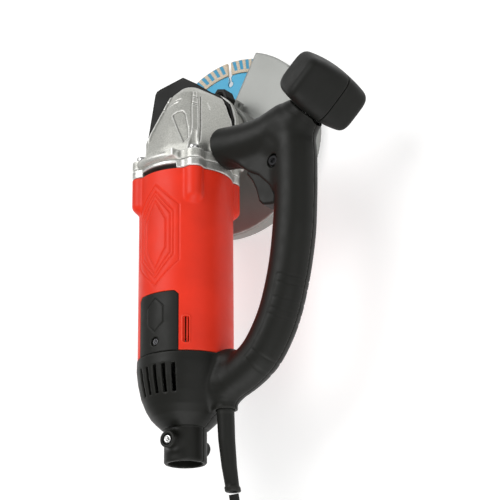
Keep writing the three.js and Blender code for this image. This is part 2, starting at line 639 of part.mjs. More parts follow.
function pinion() {
  const pitch = (2 * Math.PI) / TEETH_PINION;
  const section = (y) => {
    const ring = [];
    for (let i = 0; i < TEETH_PINION; i++) {
      const mid = -Math.PI / 2 + pitch * i;
      for (const [part, up] of [[-0.31, -DEDENDUM], [-0.12, ADDENDUM], [0.12, ADDENDUM], [0.31, -DEDENDUM]]) {
        const a = mid + part * pitch;
        const r = Math.abs(y) / 3 + up - (up > 0 ? 0.15 : 0);
        ring.push(V(r * Math.cos(a), y, r * Math.sin(a)));
      }
    }
    return ring;
  };
  const teeth = loft([section(-20), section(-14)]);
  return cut(join(teeth, rod('y', 6.4, -26, -19.9, 0, 0, 14)), rod('y', 2.3, -40, -5, 0, 0, 8));
}

// ---------------------------------------------------------------- motor
function rotorShaft() {
  return turned('y', [[0, -204], [4, -204], [4, -187.6], [5.7, -187.6], [5.7, -63], [5, -62.6], [5, -26.3],
    [2, -26.3],
    [2, -14.6], [0, -14.6]], 14);
}

function armatureCore() {
  const slots = [];
  for (let i = 0; i < 12; i++) {
    slots.push(turnAbout(block(-1.1, 1.1, ROTOR_Y[1] - 1, ROTOR_Y[0] + 1, 16.5, 25), 0, (Math.PI * i) / 6, 0));
  }
  return cut(rod('y', 19.6, ROTOR_Y[1], ROTOR_Y[0], 0, 0, 24), rod('y', 6, -160, -60, 0, 0, 14), ...slots);
}

const commutator = () => cut(rod('y', 12, -182, -158, 0, 0, 20), rod('y', 6, -190, -150, 0, 0, 14));

function coolingFan() {
  const disc = rod('y', 31, FAN_Y[1], FAN_Y[1] + 2.2, 0, 0, 28);
  const vanes = [];
  for (let i = 0; i < 10; i++) {
    vanes.push(turnAbout(block(-0.9, 0.9, FAN_Y[1] + 1, FAN_Y[0], 15, 30.4), 0, (2 * Math.PI * i) / 10, 0));
  }
  const hub = rod('y', 10, FAN_Y[1], FAN_Y[0], 0, 0, 16);
  return cut(join(disc, hub, ...vanes), rod('y', 6, -90, -50, 0, 0, 14));
}

function statorCore() {
  const ring = cut(rod('y', 33.3, -146, -82, 0, 0, 32), rod('y', 27.5, -150, -70, 0, 0, 28));
  const pole = (s) => rod('y', 28, -146, -82, 0, 0, 28)
    .intersect(block(s > 0 ? 6 : -30, s > 0 ? 30 : -6, -160, -70, -17, 17));
  return cut(join(ring, pole(1), pole(-1)), rod('y', 20.6, -150, -70, 0, 0, 28));
}

/** One field coil: a curved saddle between the poles, above or below the armature. */
function fieldCoil(sign) {
  const ring = cut(rod('y', 26.8, -152, -77, 0, 0, 28), rod('y', 21, -160, -70, 0, 0, 28));
  return ring.intersect(sign > 0 ? block(-30, 30, -160, -70, 17.5, 40) : block(-30, 30, -160, -70, -40, -17.5));
}

const carbonBrush = (s) => block(-3.2, 3.2, -175, -165, s > 0 ? 12.4 : -26, s > 0 ? 26 : -12.4);

function brushHolder(s) {
  const box = block(-5.2, 5.2, -177.2, -162.8, s > 0 ? 14 : -29, s > 0 ? 29 : -14);
  return cut(box, block(-3.5, 3.5, -175.3, -164.7, s > 0 ? 5 : -40, s > 0 ? 40 : -5));
}

// ---------------------------------------------------------------- spindle lock, arm stud
function lockButton() {
  return join(rod('x', 5, -31.6, -29.2, -10, -12, 14), rod('x', 2.2, -29.4, -20.9, -10, -12, 8));
}

function lockSpring() {
  const turns = 3;
  const points = [];
  for (let i = 0; i <= 18; i++) {
    const a = (2 * Math.PI * turns * i) / 18;
    points.push(V(-28.9 + (2 * i) / 18, -10 + 3.7 * Math.cos(a), -12 + 3.7 * Math.sin(a)));
  }
  const path = new THREE.CatmullRomCurve3(points);
  const wire = new THREE.Shape();
  wire.absarc(0, 0, 0.22, 0, 2 * Math.PI, false);
  const options = { steps: 26, extrudePath: path, bevelEnabled: false, curveSegments: 2 };
  return solid(new THREE.ExtrudeGeometry(wire, options));
}

const armWasher = () => cut(rod('x', 6.2, BOSS_FACE + GAP, ARM_END - GAP, BOSS_Y, 0, 20),
  rod('x', 3.8, 20, 50, BOSS_Y, 0, 10));

function armBolt() {
  return join(rod('x', 3.4, 17, ARM_END + 4.6, BOSS_Y, 0, 10),
    rod('x', 6.3, ARM_END + 4.2, ARM_END + 9.4, BOSS_Y, 0, 6));
}

// ---------------------------------------------------------------- cord
// The free stretch of the cord, from the boot's end down to the ground and on to the coil.
const COIL = V(-10.2, -440, 0);
const COIL_MID_R = 41;
const COIL_OUT = 15;
const CORD_ROUTE = [
  [37.6, -301.3, -7.7], [38, -312, -10.6], [38.3, -325, -16.4], [38.6, -338, -25.6], [39, -350, -37],
  [39.8, -361, -48.6], [40.6, -372, -58.4], [41.6, -383, -65.6], [42.6, -395, -69.8],
  [42.4, -404, GROUND + 3.9], [42.2, -412, GROUND + 3.9],
];

function cordBoot() {
  const rings = [[-222, 6.6, 0], [-241, 6.6, 0], [-262, 6.3, 1.1], [-282, 5.7, 3.6], [-296, 5.2, 6.4],
    [-297, 6, 6.6],
    [-299.4, 6, 7.2], [-299.9, 5, 7.4]];
  return loft(rings.map(([y, r, drop]) =>
    ringAt(V(BOOT_X + BOOT_LEAN * drop, y, -drop), V(1, 0, 0), V(0, 0, 1), r, r, 2, 16)));
}

function cordTube() {
  const path = new THREE.CatmullRomCurve3(CORD_ROUTE.map(([x, y, z]) => V(x, y, z)), false, 'centripetal');
  const section = new THREE.Shape();
  section.absarc(0, 0, CORD_R, 0, 2 * Math.PI, false);
  const options = { steps: 18, extrudePath: path, bevelEnabled: false, curveSegments: 5 };
  return solid(new THREE.ExtrudeGeometry(section, options));
}

function cordCoil() {
  const layer = 2 * CORD_R;
  const profile = [[COIL_MID_R - COIL_OUT, GROUND + 0.2], [COIL_MID_R + COIL_OUT, GROUND + 0.2],
    [COIL_MID_R + COIL_OUT, GROUND + layer], [COIL_MID_R + COIL_OUT - CORD_R, GROUND + 1.94 * layer],
    [COIL_MID_R - COIL_OUT + CORD_R, GROUND + 1.94 * layer], [COIL_MID_R - COIL_OUT, GROUND + layer]];
  return turned('z', profile, 24).translate([COIL.x, COIL.y, 0]);
}

// The plug lies on the ground beside the coil, pins pointing away along -X.
const PLUG = V(-34, COIL.y - COIL_MID_R - COIL_OUT + CORD_R, GROUND + 12.2);

function plugBody() {
  const stations = [[0, 5], [3, 6], [18, 8.4], [27, 12], [36, 16], [41, 16.6], [42.5, 15.4]];
  const across = V(0, 1, 0);
  const up = V(0, 0, 1);
  return loft(stations.map(([t, r]) =>
    ringAt(V(PLUG.x - t, PLUG.y - 13, PLUG.z), across, up, r, Math.min(r, 11.8), 2.6, 16)));
}

const plugPin = (s) => rod('x', 2.4, PLUG.x - 61, PLUG.x - 42.8, PLUG.y - 13 + s * 9.5, PLUG.z, 10);

// ---------------------------------------------------------------- assembly
piece('gear_housing', gearHousing(), CAST);
piece('bearing_plate', bearingPlate(), CAST);
piece('bearing_cover', bearingCover(), CAST);
piece('chip_shield', chipShield(), BLACK);
CORNERS.forEach((c, i) => piece(`gearcase_screw_${i + 1}`, gearcaseScrew(c), STEEL));
piece('motor_housing', motorHousing(), RED);
piece('brush_cover_upper', brushCover(1), BLACK);
piece('brush_cover_lower', brushCover(-1), BLACK);
piece('brush_cover_screw_upper', coverScrew(1), STEEL);
piece('brush_cover_screw_lower', coverScrew(-1), STEEL);
const upperShell = clamshell(1);
const rearBlock = (edge) => block(-80, edge, -300, -190, -1, 80);
piece('rear_casing_upper', upperShell.intersect(rearBlock(CASING_EDGE - GAP)), BLACK);
piece('handle_shell_upper', cut(upperShell, rearBlock(CASING_EDGE)), BLACK);
piece('handle_shell_lower', clamshell(-1), BLACK);
HANDLE_SCREWS.forEach((at, i) => piece(`handle_screw_${i + 1}`, handleScrew(at), DARK_STEEL));
piece('pole_clamp_screw_upper', clampScrew(1), STEEL);
piece('pole_clamp_screw_lower', clampScrew(-1), STEEL);
piece('trigger', trigger(), BLACK);
piece('trigger_pin', rod('z', 1.5, -9.6, 9.6, ...TRIGGER_PIN, 12), STEEL);
piece('switch_body', switchBody(), BLACK);
piece('arm_washer', armWasher(), DARK_STEEL);
piece('arm_bolt', armBolt(), STEEL);
piece('knob_body', knobBody(), RUBBER);
piece('knob_cap', knobPart(KNOB_SPLIT + GAP / 2, KNOB_HALF), RUBBER);
piece('knob_bolt', knobBolt(), STEEL);
piece('guard', guard(), GUARD_GREY);
piece('guard_lever', guardLever(), BLACK);
piece('spindle', spindle(), STEEL);
piece('spindle_bearing_upper', ballRace('z', 5.3, 6.2, 4.4, 11.4), STEEL);
piece('spindle_bearing_lower', ballRace('z', 7.8, 16, -45.2, -34), STEEL);
piece('crown_gear', crownGear(), DARK_STEEL);
piece('pinion', pinion(), DARK_STEEL);
piece('inner_flange', innerFlange(), STEEL);
piece('diamond_blade', blade(), BLADE_BLUE);
piece('lock_nut', lockNut(), DARK_STEEL);
piece('spindle_lock_button', lockButton(), BLACK);
piece('spindle_lock_spring', lockSpring(), STEEL);
piece('rotor_shaft', rotorShaft(), STEEL);
piece('rotor_bearing_front', ballRace('y', 5.4, 13, -61, -50), STEEL);
piece('rotor_bearing_rear', ballRace('y', 4.3, 11, -196, -189.3), STEEL);
piece('armature_core', armatureCore(), LAMINATE);
piece('commutator', commutator(), COPPER);
piece('cooling_fan', coolingFan(), BLACK);
piece('stator_core', statorCore(), LAMINATE);
piece('field_coil_upper', fieldCoil(1), COPPER);
piece('field_coil_lower', fieldCoil(-1), COPPER);
piece('brush_holder_upper', brushHolder(1), BRASS);
piece('brush_holder_lower', brushHolder(-1), BRASS);
piece('carbon_brush_upper', carbonBrush(1), CARBON);
piece('carbon_brush_lower', carbonBrush(-1), CARBON);
piece('cord_boot', cordBoot(), RUBBER);
piece('power_cord', cordTube(), RUBBER);
piece('cord_coil', cordCoil(), RUBBER);
piece('plug_body', plugBody(), RUBBER);
piece('plug_pin_1', plugPin(-1), STEEL);
piece('plug_pin_2', plugPin(1), STEEL);

export default assembly;
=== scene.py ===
"""Looks of an angle grinder with a D-handle, a palm knob and a pole socket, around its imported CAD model.

Shapes are written in millimetres in the tool's own frame: origin where the motor's axis meets the spindle's
axis, +X towards the D-handle, +Y along the motor towards the gear head, +Z up. Moulded and cast pieces, the
guard and the disc are distance fields turned into meshes by surface nets. Screws, boot and plug are lofts.
"""
import json
import math

import bmesh
import bpy
import numpy as np
from mathutils import Matrix, Vector


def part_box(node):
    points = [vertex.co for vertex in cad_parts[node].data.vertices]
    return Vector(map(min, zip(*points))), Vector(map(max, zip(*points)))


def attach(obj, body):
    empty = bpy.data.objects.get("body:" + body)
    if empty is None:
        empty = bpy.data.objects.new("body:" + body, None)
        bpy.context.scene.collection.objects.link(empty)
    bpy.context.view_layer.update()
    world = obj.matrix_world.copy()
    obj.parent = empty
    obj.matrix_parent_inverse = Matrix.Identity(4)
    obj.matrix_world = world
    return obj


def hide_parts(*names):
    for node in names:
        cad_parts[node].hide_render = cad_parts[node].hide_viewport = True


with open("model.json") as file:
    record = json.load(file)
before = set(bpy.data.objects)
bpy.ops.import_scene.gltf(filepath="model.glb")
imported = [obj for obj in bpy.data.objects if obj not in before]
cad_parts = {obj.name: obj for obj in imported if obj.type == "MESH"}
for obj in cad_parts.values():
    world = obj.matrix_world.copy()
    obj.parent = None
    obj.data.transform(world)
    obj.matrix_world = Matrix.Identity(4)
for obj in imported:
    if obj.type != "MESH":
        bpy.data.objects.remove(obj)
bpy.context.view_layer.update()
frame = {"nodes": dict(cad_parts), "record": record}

# -------- frame
MM = 0.001


def middle(node):
    low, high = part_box(node)
    return (low + high) / 2


AXES = Vector((middle("spindle").x, middle("spindle").y, middle("stator_core").z))
GROUND = -AXES.z / MM  # height of the floor in the tool's frame


def at(x, y, z):
    """A point of the tool's frame, in metres in the row frame."""
    return AXES + Vector((x, y, z)) * MM


# -------- driving dimensions, as in the CAD model
CLOCK = math.radians(-4.5)
HOUSING_R = 36.3
HOUSING_WALL = 2.6
HOUSING_FRONT = -54.7
HOUSING_REAR = -198
LUG_R, LUG_AT, LUG_END = 7.2, 24.7, -84
PLATE_FRONT = -47.8
FLANGE_REAR, FLANGE_FRONT = -47.5, -40
COVER_FRONT, COVER_HALF, COVER_SCREW_Y = -152, 18.3, -189.5
HEAD_BOTTOM = -22
BOSS_FACE, BOSS_Y, BOSS_BORE = 30.2, -33.5, 3.7
CHAMBER_R = 20.4
CASE_SCREW_HOLE = 2.4
SPLASH_TOP, SPLASH_BOTTOM = -22.3, -24.3
GUARD_R, GUARD_TOP, GUARD_SHEET = 78.8, -62.3, 2
GUARD_TURN = math.radians(-18.2)
NECK_R = 24
BLADE_R, BLADE_Z, CORE_R = 75, -69, 63.4
CORE_T, SEGMENT_T, SEGMENTS = 1.8, 2.4, 12
BLADE_PHASE = math.radians(4)
TUBE_R, TUBE_BORE, TUBE_END, SOCKET_FLOOR, CLAMP_Y = 16, 13.1, -276, -249.5, -261
CLAMP_R, CLAMP_TOP, CLAMP_RECESS_R, CLAMP_RECESS_FLOOR = 6.3, 23.8, 4.2, 22
ARM_END = 31.6
KNOB = np.array((125.7, -7, 0))
NECK_TURN, KNOB_TURN = math.radians(43.8), math.radians(28)
KNOB_HALF, KNOB_SPLIT, KNOB_BARREL = 28.4, 4.8, 20.8
BOOT_X, BOOT_LEAN = 36, 0.2
CORD_R = 3.7

# -------- camera
VIEW_BACK = Vector((0.5216, -0.3184, 0.7915)).normalized()
VIEW_RIGHT = Vector((0.8334, -0.0084, -0.5526))
VIEW_DISTANCE = 1.3843
VIEW_TARGET = (58.8, -120, 0)
LENS, SENSOR = 132.95, 36


def make_camera():
    data = bpy.data.cameras.new("camera")
    data.lens, data.sensor_width = LENS, SENSOR
    data.clip_start, data.clip_end = 0.05, 20
    cam = bpy.data.objects.new("camera", data)
    bpy.context.scene.collection.objects.link(cam)
    right = (VIEW_RIGHT - VIEW_RIGHT.dot(VIEW_BACK) * VIEW_BACK).normalized()
    up = VIEW_BACK.cross(right)
    turn = Matrix((right, up, VIEW_BACK)).transposed()
    cam.matrix_world = Matrix.Translation(at(*VIEW_TARGET) + VIEW_BACK * VIEW_DISTANCE) @ turn.to_4x4()
    bpy.context.scene.camera = cam


make_camera()
bpy.context.scene.view_settings.view_transform = "Standard"


# -------- materials
class Nodes:
    """Short names for building one material's node tree."""

    def __init__(self, name):
        self.material = bpy.data.materials.new(name)
        self.material.use_nodes = True
        self.tree = self.material.node_tree
        self.shader = self.tree.nodes["Principled BSDF"]
        self.where = self.add("ShaderNodeTexCoord").outputs["Object"]
        self.height = None

    def add(self, kind, **values):
        node = self.tree.nodes.new(kind)
        for key, value in values.items():
            if key in node.inputs:
                node.inputs[key].default_value = value
            else:
                setattr(node, key, value)
        return node

    def link(self, a, b):
        self.tree.links.new(a, b)

    def noise(self, scale, detail=3, roughness=0.55, stretch=None):
        node = self.add("ShaderNodeTexNoise", Scale=scale, Detail=detail, Roughness=roughness)
        source = self.where
        if stretch:
            mapping = self.add("ShaderNodeMapping", Scale=stretch)
            self.link(source, mapping.inputs["Vector"])
            source = mapping.outputs["Vector"]
        self.link(source, node.inputs["Vector"])
        return node.outputs["Fac"]

    def cells(self, scale):
        node = self.add("ShaderNodeTexVoronoi", Scale=scale)
        self.link(self.where, node.inputs["Vector"])
        return node.outputs["Distance"]

    def attribute(self, name):
        return self.add("ShaderNodeAttribute", attribute_name=name).outputs["Fac"]

    def spread(self, value, low, high, to_low=0.0, to_high=1.0):
        node = self.add("ShaderNodeMapRange")
        for key, number in zip(("From Min", "From Max", "To Min", "To Max"), (low, high, to_low, to_high)):
            node.inputs[key].default_value = number
        self.link(value, node.inputs["Value"])
        return node.outputs["Result"]

    def times(self, a, b):
        node = self.add("ShaderNodeMath", operation="MULTIPLY")
        for value, socket in zip((a, b), node.inputs):
            if isinstance(value, (int, float)):
                socket.default_value = value
            else:
                self.link(value, socket)
        return node.outputs["Value"]

    def mix(self, amount, a, b):
        node = self.add("ShaderNodeMix", data_type="RGBA")
        for value, socket in zip((amount, a, b), (node.inputs[0], node.inputs[6], node.inputs[7])):
            if isinstance(value, (int, float)):
                socket.default_value = value
            elif isinstance(value, tuple):
                socket.default_value = (*value, 1)
            else:
                self.link(value, socket)
        return node.outputs[2]

    def bump(self, height, strength, distance):
        node = self.add("ShaderNodeBump", Strength=strength, Distance=distance)
        self.link(height, node.inputs["Height"])
        if self.height:
            self.link(self.height, node.inputs["Normal"])
        self.height = node.outputs["Normal"]

    def done(self, color, roughness, **constants):
        self.link(color, self.shader.inputs["Base Color"])
        self.link(roughness, self.shader.inputs["Roughness"])
        if self.height:
            self.link(self.height, self.shader.inputs["Normal"])
        for key, value in constants.items():
            self.shader.inputs[key.replace("_", " ")].default_value = value
        return self.material


def plastic(name, base, worn, rough, grain=1400, edge=0.35, grain_depth=0.00006, **constants):
    """Moulded plastic: spark-eroded grain, faint clouding, edges rubbed lighter."""
    n = Nodes(name)
    cloud = n.spread(n.noise(22, 4), 0.35, 0.65)
    dark = tuple(c * 0.86 for c in base)
    body = n.mix(cloud, dark, base)
    patchy = n.spread(n.noise(160, 4), 0.35, 0.7, 0.2, edge * 2)
    rub = n.times(n.spread(n.attribute("edge"), 0.12, 0.8), patchy)
    color = n.mix(rub, body, worn)
    n.bump(n.noise(grain, 2), 0.35, grain_depth)
    n.bump(n.noise(60, 2), 0.1, 0.0003)
    return n.done(color, n.spread(n.noise(90, 3), 0.3, 0.7, rough - 0.05, rough + 0.07), **constants)


def cast_metal(name, base, dark, rough=0.42):
    """Sand-cast aluminium: granular skin, polished edges, painted shade in the hollows."""
    n = Nodes(name)
    blotch = n.spread(n.noise(45, 6, 0.7), 0.3, 0.7)
    grain = n.noise(900, 4, 0.7)
    body = n.mix(n.spread(grain, 0.32, 0.68), dark, base)
    body = n.mix(n.times(blotch, 0.4), body, tuple(c * 0.8 for c in base))
    bright = n.spread(n.attribute("edge"), 0.08, 0.5)
    # painted shade: hollows and creases darkened towards near black
    hollow = n.spread(n.attribute("edge"), -0.05, -0.4)
    color = n.mix(n.times(bright, 0.75), body, (0.86, 0.86, 0.83))
    color = n.mix(n.times(hollow, 0.7), color, (0.2, 0.2, 0.185))
    n.bump(grain, 0.55, 0.00016)
    n.bump(n.noise(160, 3), 0.3, 0.0004)
    return n.done(color, n.spread(grain, 0.3, 0.7, rough - 0.06, rough + 0.16), Metallic=0.72)


def steel(name, base, rough, stretch=(1, 1, 1), scale=300):
    """Turned or plated steel with fine tool marks."""
    n = Nodes(name)
    marks = n.noise(scale, 3, 0.6, stretch)
    color = n.mix(n.spread(marks, 0.3, 0.7), tuple(c * 0.78 for c in base), base)
    n.bump(marks, 0.2, 0.00005)
    return n.done(color, n.spread(marks, 0.3, 0.7, rough - 0.05, rough + 0.1), Metallic=1.0)


def paint(name, base, rough, fleck=0.06):
    """Sprayed paint with a slight orange peel, thinner and duller along the edges."""
    n = Nodes(name)
    cloud = n.noise(30, 4)
    body = n.mix(n.spread(cloud, 0.3, 0.7), tuple(c * (1 - fleck * 2) for c in base), base)
    fine = n.spread(n.noise(1500, 2), 0.62, 0.8, 0, 0.5)
    body = n.mix(fine, body, tuple(min(1, c * 1.5) for c in base))
    rub = n.times(n.spread(n.attribute("edge"), 0.2, 0.9), n.spread(n.noise(220, 4), 0.45, 0.7, 0, 0.6))
    color = n.mix(rub, body, (0.6, 0.6, 0.58))
    n.bump(n.noise(420, 2), 0.12, 0.0001)
    return n.done(color, n.spread(cloud, 0.3, 0.7, rough - 0.05, rough + 0.08), Metallic=0.25)


def sintered(name):
    """Diamond segments: sandy bronze matrix with dark grit, and blue paint left in the slanted pockets."""
    n = Nodes(name)
    grit = n.spread(n.cells(1300), 0.1, 0.5)
    body = n.mix(grit, (0.36, 0.29, 0.2), (0.68, 0.58, 0.45))
    specks = n.spread(n.noise(1100, 3), 0.62, 0.7)
    body = n.mix(specks, body, (0.16, 0.13, 0.1))
    color = n.mix(n.attribute("pocket"), body, (0.07, 0.33, 0.52))
    n.bump(n.noise(900, 4), 0.5, 0.0002)
    return n.done(color, n.spread(grit, 0, 1, 0.6, 0.8), Metallic=0.15)


def laminated(name, base):
    """Stacked sheet: fine rings across the motor's axis."""
    n = Nodes(name)
    wave = n.add("ShaderNodeTexWave", Scale=420, bands_direction="Y")
    n.link(n.where, wave.inputs["Vector"])
    color = n.mix(wave.outputs["Fac"], tuple(c * 0.5 for c in base), base)
    n.bump(wave.outputs["Fac"], 0.4, 0.0002)
    return n.done(color, n.spread(n.noise(200), 0.3, 0.7, 0.4, 0.6), Metallic=0.8)


RED = plastic("red_nylon", (0.76, 0.032, 0.011), (0.84, 0.09, 0.04), 0.42, grain=1100, edge=0.2,
              Specular_IOR_Level=0.2)
BLACK = plastic("black_nylon", (0.0075, 0.0078, 0.0062), (0.03, 0.03, 0.027), 0.46, edge=0.2,
                Specular_IOR_Level=0.2)
RUBBER = plastic("soft_rubber", (0.0065, 0.0068, 0.0055), (0.028, 0.028, 0.025), 0.52, grain=2200, edge=0.2,
                 Specular_IOR_Level=0.2)
CAST = cast_metal("cast_aluminium", (0.6, 0.6, 0.56), (0.3, 0.3, 0.275))
PLATE = cast_metal("machined_aluminium", (0.56, 0.56, 0.53), (0.33, 0.33, 0.31), 0.33)
STEEL = steel("plated_steel", (0.62, 0.62, 0.61), 0.28)
DARK = steel("blackened_steel", (0.11, 0.11, 0.115), 0.42)
INK = steel("black_oxide", (0.02, 0.02, 0.021), 0.5)
GUARD = paint("guard_paint", (0.3, 0.306, 0.29), 0.42)
BLUE = paint("disc_paint", (0.028, 0.285, 0.46), 0.42)
SHIELD = plastic("black_lacquer", (0.004, 0.004, 0.0035), (0.02, 0.02, 0.018), 0.34, edge=0.3,
                 Specular_IOR_Level=0.12)
SEGMENT = sintered("diamond_segment")
COPPER = steel("copper_winding", (0.6, 0.26, 0.1), 0.35, (1, 0.05, 1), 900)
BRASS = steel("brass_sheet", (0.68, 0.5, 0.2), 0.32)
CARBON = plastic("carbon", (0.02, 0.02, 0.022), (0.05, 0.05, 0.05), 0.6)
LAMINATE = laminated("laminations", (0.3, 0.3, 0.31))
SLOT_LOOK = {
    "cast_aluminium": CAST, "red_housing": RED, "black_plastic": BLACK, "soft_black": RUBBER,
    "bright_steel": STEEL, "dark_steel": DARK, "guard_paint": GUARD, "disc_blue": BLUE,
    "laminations": LAMINATE, "copper": COPPER, "brass": BRASS, "carbon": CARBON,
}
CAD_BEVEL, SHARP = 0.3 * MM, math.radians(35)


def dress_cad_nodes():
    """Every CAD node gets its slot's material, and softened edges."""
    for row in frame["record"]["subparts"]:
        node = frame["nodes"][row["node"]]
        node.data.materials.clear()
        node.data.materials.append(SLOT_LOOK[row["material_slot"]])
        bevel = node.modifiers.new("bevel", "BEVEL")
        bevel.width, bevel.segments = CAD_BEVEL, 2
        bevel.limit_method, bevel.angle_limit = "ANGLE", SHARP


dress_cad_nodes()


# -------- distance fields, in millimetres
def smin(a, b, k):
    h = np.clip(0.5 + 0.5 * (b - a) / k, 0, 1)
    return b + (a - b) * h - k * h * (1 - h)


def smax(a, b, k):
    return -smin(-a, -b, k)


def cut(a, b, k=0.4):
    """Takes b away from a."""
    return smax(a, -b, k)


def ball2(u, v, r, cu=0.0, cv=0.0):
    return np.sqrt((u - cu) ** 2 + (v - cv) ** 2) - r


def capped(round_part, h, low, high, k=0.6):
    """A section given thickness between two heights, with eased edges."""
    return smax(round_part, np.maximum(low - h, h - high), k)


def box_field(x, y, z, low, high, k=0.4):
    sides = [np.maximum(a - p, p - b) for p, a, b in zip((x, y, z), low, high)]
    return smax(smax(sides[0], sides[1], k), sides[2], k)


def turned_frame(x, z, angle):
    """Coordinates turned about the motor's axis, so that a feature at that angle from +Z lies on +Z."""
    c, s = math.cos(angle), math.sin(angle)
    return x * c - z * s, x * s + z * c


def polygon(u, v, points):
    """Signed distance to a closed polygon."""
    p = np.array(points, np.float32)
    best = np.full(u.shape, 1e12, np.float32)
    inside = np.zeros(u.shape, bool)
    for a, b in zip(p, np.roll(p, -1, 0)):
        e = b - a
        wu, wv = u - a[0], v - a[1]
        t = np.clip((wu * e[0] + wv * e[1]) / max(float(e @ e), 1e-9), 0, 1)
        best = np.minimum(best, (wu - e[0] * t) ** 2 + (wv - e[1] * t) ** 2)
        crosses = (a[1] <= v) != (b[1] <= v)
        with np.errstate(divide="ignore", invalid="ignore"):
            reach = a[0] + (v - a[1]) / (b[1] - a[1]) * e[0]
        inside ^= crosses & (u < reach)
    return np.where(inside, -1, 1) * np.sqrt(best)


def through(stations, steps):
    """Smooth points through [x, y, r] stations, by a Catmull-Rom curve."""
    p = np.array(stations, float)
    ends = np.vstack([2 * p[0] - p[1], p, 2 * p[-1] - p[-2]])
    out = []
    for i in range(len(p) - 1):
        a, b, c, d = ends[i:i + 4]
        for t in np.arange(steps) / steps:
            out.append(0.5 * (2 * b + (c - a) * t + (2 * a - 5 * b + 4 * c - d) * t * t
                              + (3 * b - a - 3 * c + d) * t ** 3))
    return np.array([*out, p[-1]])


def limb(x, y, z, stations, steps=3):
    """A round bar of changing radius along stations in the plane z = 0.

    Also gives how far along it each point is, and how far to its right.
    """
    p = through(stations, steps)
    best = np.full(x.shape, 1e9, np.float32)
    along, aside = np.zeros(x.shape, np.float32), np.zeros(x.shape, np.float32)
    start = 0.0
    for a, b in zip(p[:-1], p[1:]):
        e = b[:2] - a[:2]
        length = float(np.hypot(*e))
        t = np.clip(((x - a[0]) * e[0] + (y - a[1]) * e[1]) / length ** 2, 0, 1)
        radius = a[2] + (b[2] - a[2]) * t
        d = np.sqrt((x - a[0] - e[0] * t) ** 2 + (y - a[1] - e[1] * t) ** 2 + z * z) - radius
        nearer = d < best
        best = np.where(nearer, d, best)
        along = np.where(nearer, start + t * length, along)
        aside = np.where(nearer, ((x - a[0]) * e[1] - (y - a[1]) * e[0]) / length, aside)
        start += length
    return best, along, aside


# -------- surface nets
BLOCK = 8
CORNER = np.array([(i, j, k) for i in (0, 1) for j in (0, 1) for k in (0, 1)])
EDGES = [(a, b) for a in range(8) for b in range(a + 1, 8) if np.abs(CORNER[a] - CORNER[b]).sum() == 1]


def sample(field, low, step, shape):
    """The field on a grid, worked out only near the surface."""
    values = np.empty(shape, np.float32)
    blocks = [-(-n // BLOCK) for n in shape]
    index = np.stack(np.meshgrid(*[np.arange(n) for n in blocks], indexing="ij"), -1).reshape(-1, 3)
    centres = low + (index * BLOCK + BLOCK / 2) * step
    coarse = field(*centres.T.astype(np.float32))
    reach = BLOCK * step * 0.87 + 2.5
    for (i, j, k), d in zip(index * BLOCK, coarse):
        if abs(d) >= reach:
            values[i:i + BLOCK, j:j + BLOCK, k:k + BLOCK] = d
    near = index[np.abs(coarse) < reach] * BLOCK
    offsets = np.stack(np.meshgrid(*[np.arange(BLOCK)] * 3, indexing="ij"), -1).reshape(-1, 3)
    cells = (near[:, None] + offsets[None]).reshape(-1, 3)
    cells = cells[(cells < np.array(shape)).all(1)]
    for part in np.array_split(cells, max(1, len(cells) // 400000)):
        points = (low + part * step).astype(np.float32)
        values[part[:, 0], part[:, 1], part[:, 2]] = field(*points.T)
    return values


def gradient(field, points, h):
    steps = np.eye(3, dtype=np.float32) * h
    return np.stack([(field(*(points + s).T) - field(*(points - s).T)) / (2 * h) for s in steps], 1)


def nets(field, low, high, step):
    """Points and quads of the surface field = 0 between two corners."""
    low = np.array(low, float)
    shape = tuple(int(n) for n in np.ceil((np.array(high, float) - low) / step) + 1)
    values = sample(field, low, step, shape)
    inside = values < 0
    size = tuple(n - 1 for n in shape)
    count = np.zeros(size, np.int8)
    for c in CORNER:
        count += inside[c[0]:c[0] + size[0], c[1]:c[1] + size[1], c[2]:c[2] + size[2]]
    cells = np.argwhere((count > 0) & (count < 8))
    corners = np.stack([values[tuple((cells + c).T)] for c in CORNER], 1)
    total = np.zeros((len(cells), 3))
    hits = np.zeros(len(cells))
    for a, b in EDGES:
        crosses = (corners[:, a] < 0) != (corners[:, b] < 0)
        t = corners[:, a] / np.where(crosses, corners[:, a] - corners[:, b], 1)
        total += crosses[:, None] * (CORNER[a] + t[:, None] * (CORNER[b] - CORNER[a]))
        hits += crosses
    points = (low + (cells + total / hits[:, None]) * step).astype(np.float32)
    number = np.full(size, -1, np.int32)
    number[tuple(cells.T)] = np.arange(len(cells))
    quads = []
    for axis in range(3):
        u, v = [a for a in range(3) if a != axis]
        if axis == 1:
            u, v = v, u
        first = np.take(inside, np.arange(shape[axis] - 1), axis)
        second = np.take(inside, np.arange(1, shape[axis]), axis)
        edge = np.argwhere(first != second)
        edge = edge[(edge[:, u] > 0) & (edge[:, v] > 0) & (edge[:, u] < size[u]) & (edge[:, v] < size[v])]
        shift = [np.zeros(3, int) for _ in range(4)]
        shift[1][u] = shift[2][u] = shift[2][v] = shift[3][v] = -1
        ring = np.stack([number[tuple((edge + s).T)] for s in shift], 1)
        flipped = ~first[tuple(edge.T)]
        ring[flipped] = ring[flipped][:, ::-1]
        quads.append(ring)
    for _ in range(2):
        g = gradient(field, points, 0.25 * step)
        move = field(*points.T)[:, None] * g / np.maximum((g * g).sum(1), 0.05)[:, None]
        points = points - np.clip(move, -0.5 * step, 0.5 * step)
    return points, np.concatenate(quads)


def mesh_object(name, points, faces, material, body):
    """A Blender object from points in the tool's frame, riding on a body."""
    mesh = bpy.data.meshes.new(name)
    co = np.array(points, float) * MM + np.array(AXES)
    mesh.from_pydata(co.tolist(), [], [list(map(int, f)) for f in faces])
    mesh.polygons.foreach_set("use_smooth", np.full(len(mesh.polygons), True))
    mesh.materials.append(material)
    mesh.update()
    obj = bpy.data.objects.new(name, mesh)
    bpy.context.scene.collection.objects.link(obj)
    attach(obj, body)
    return obj


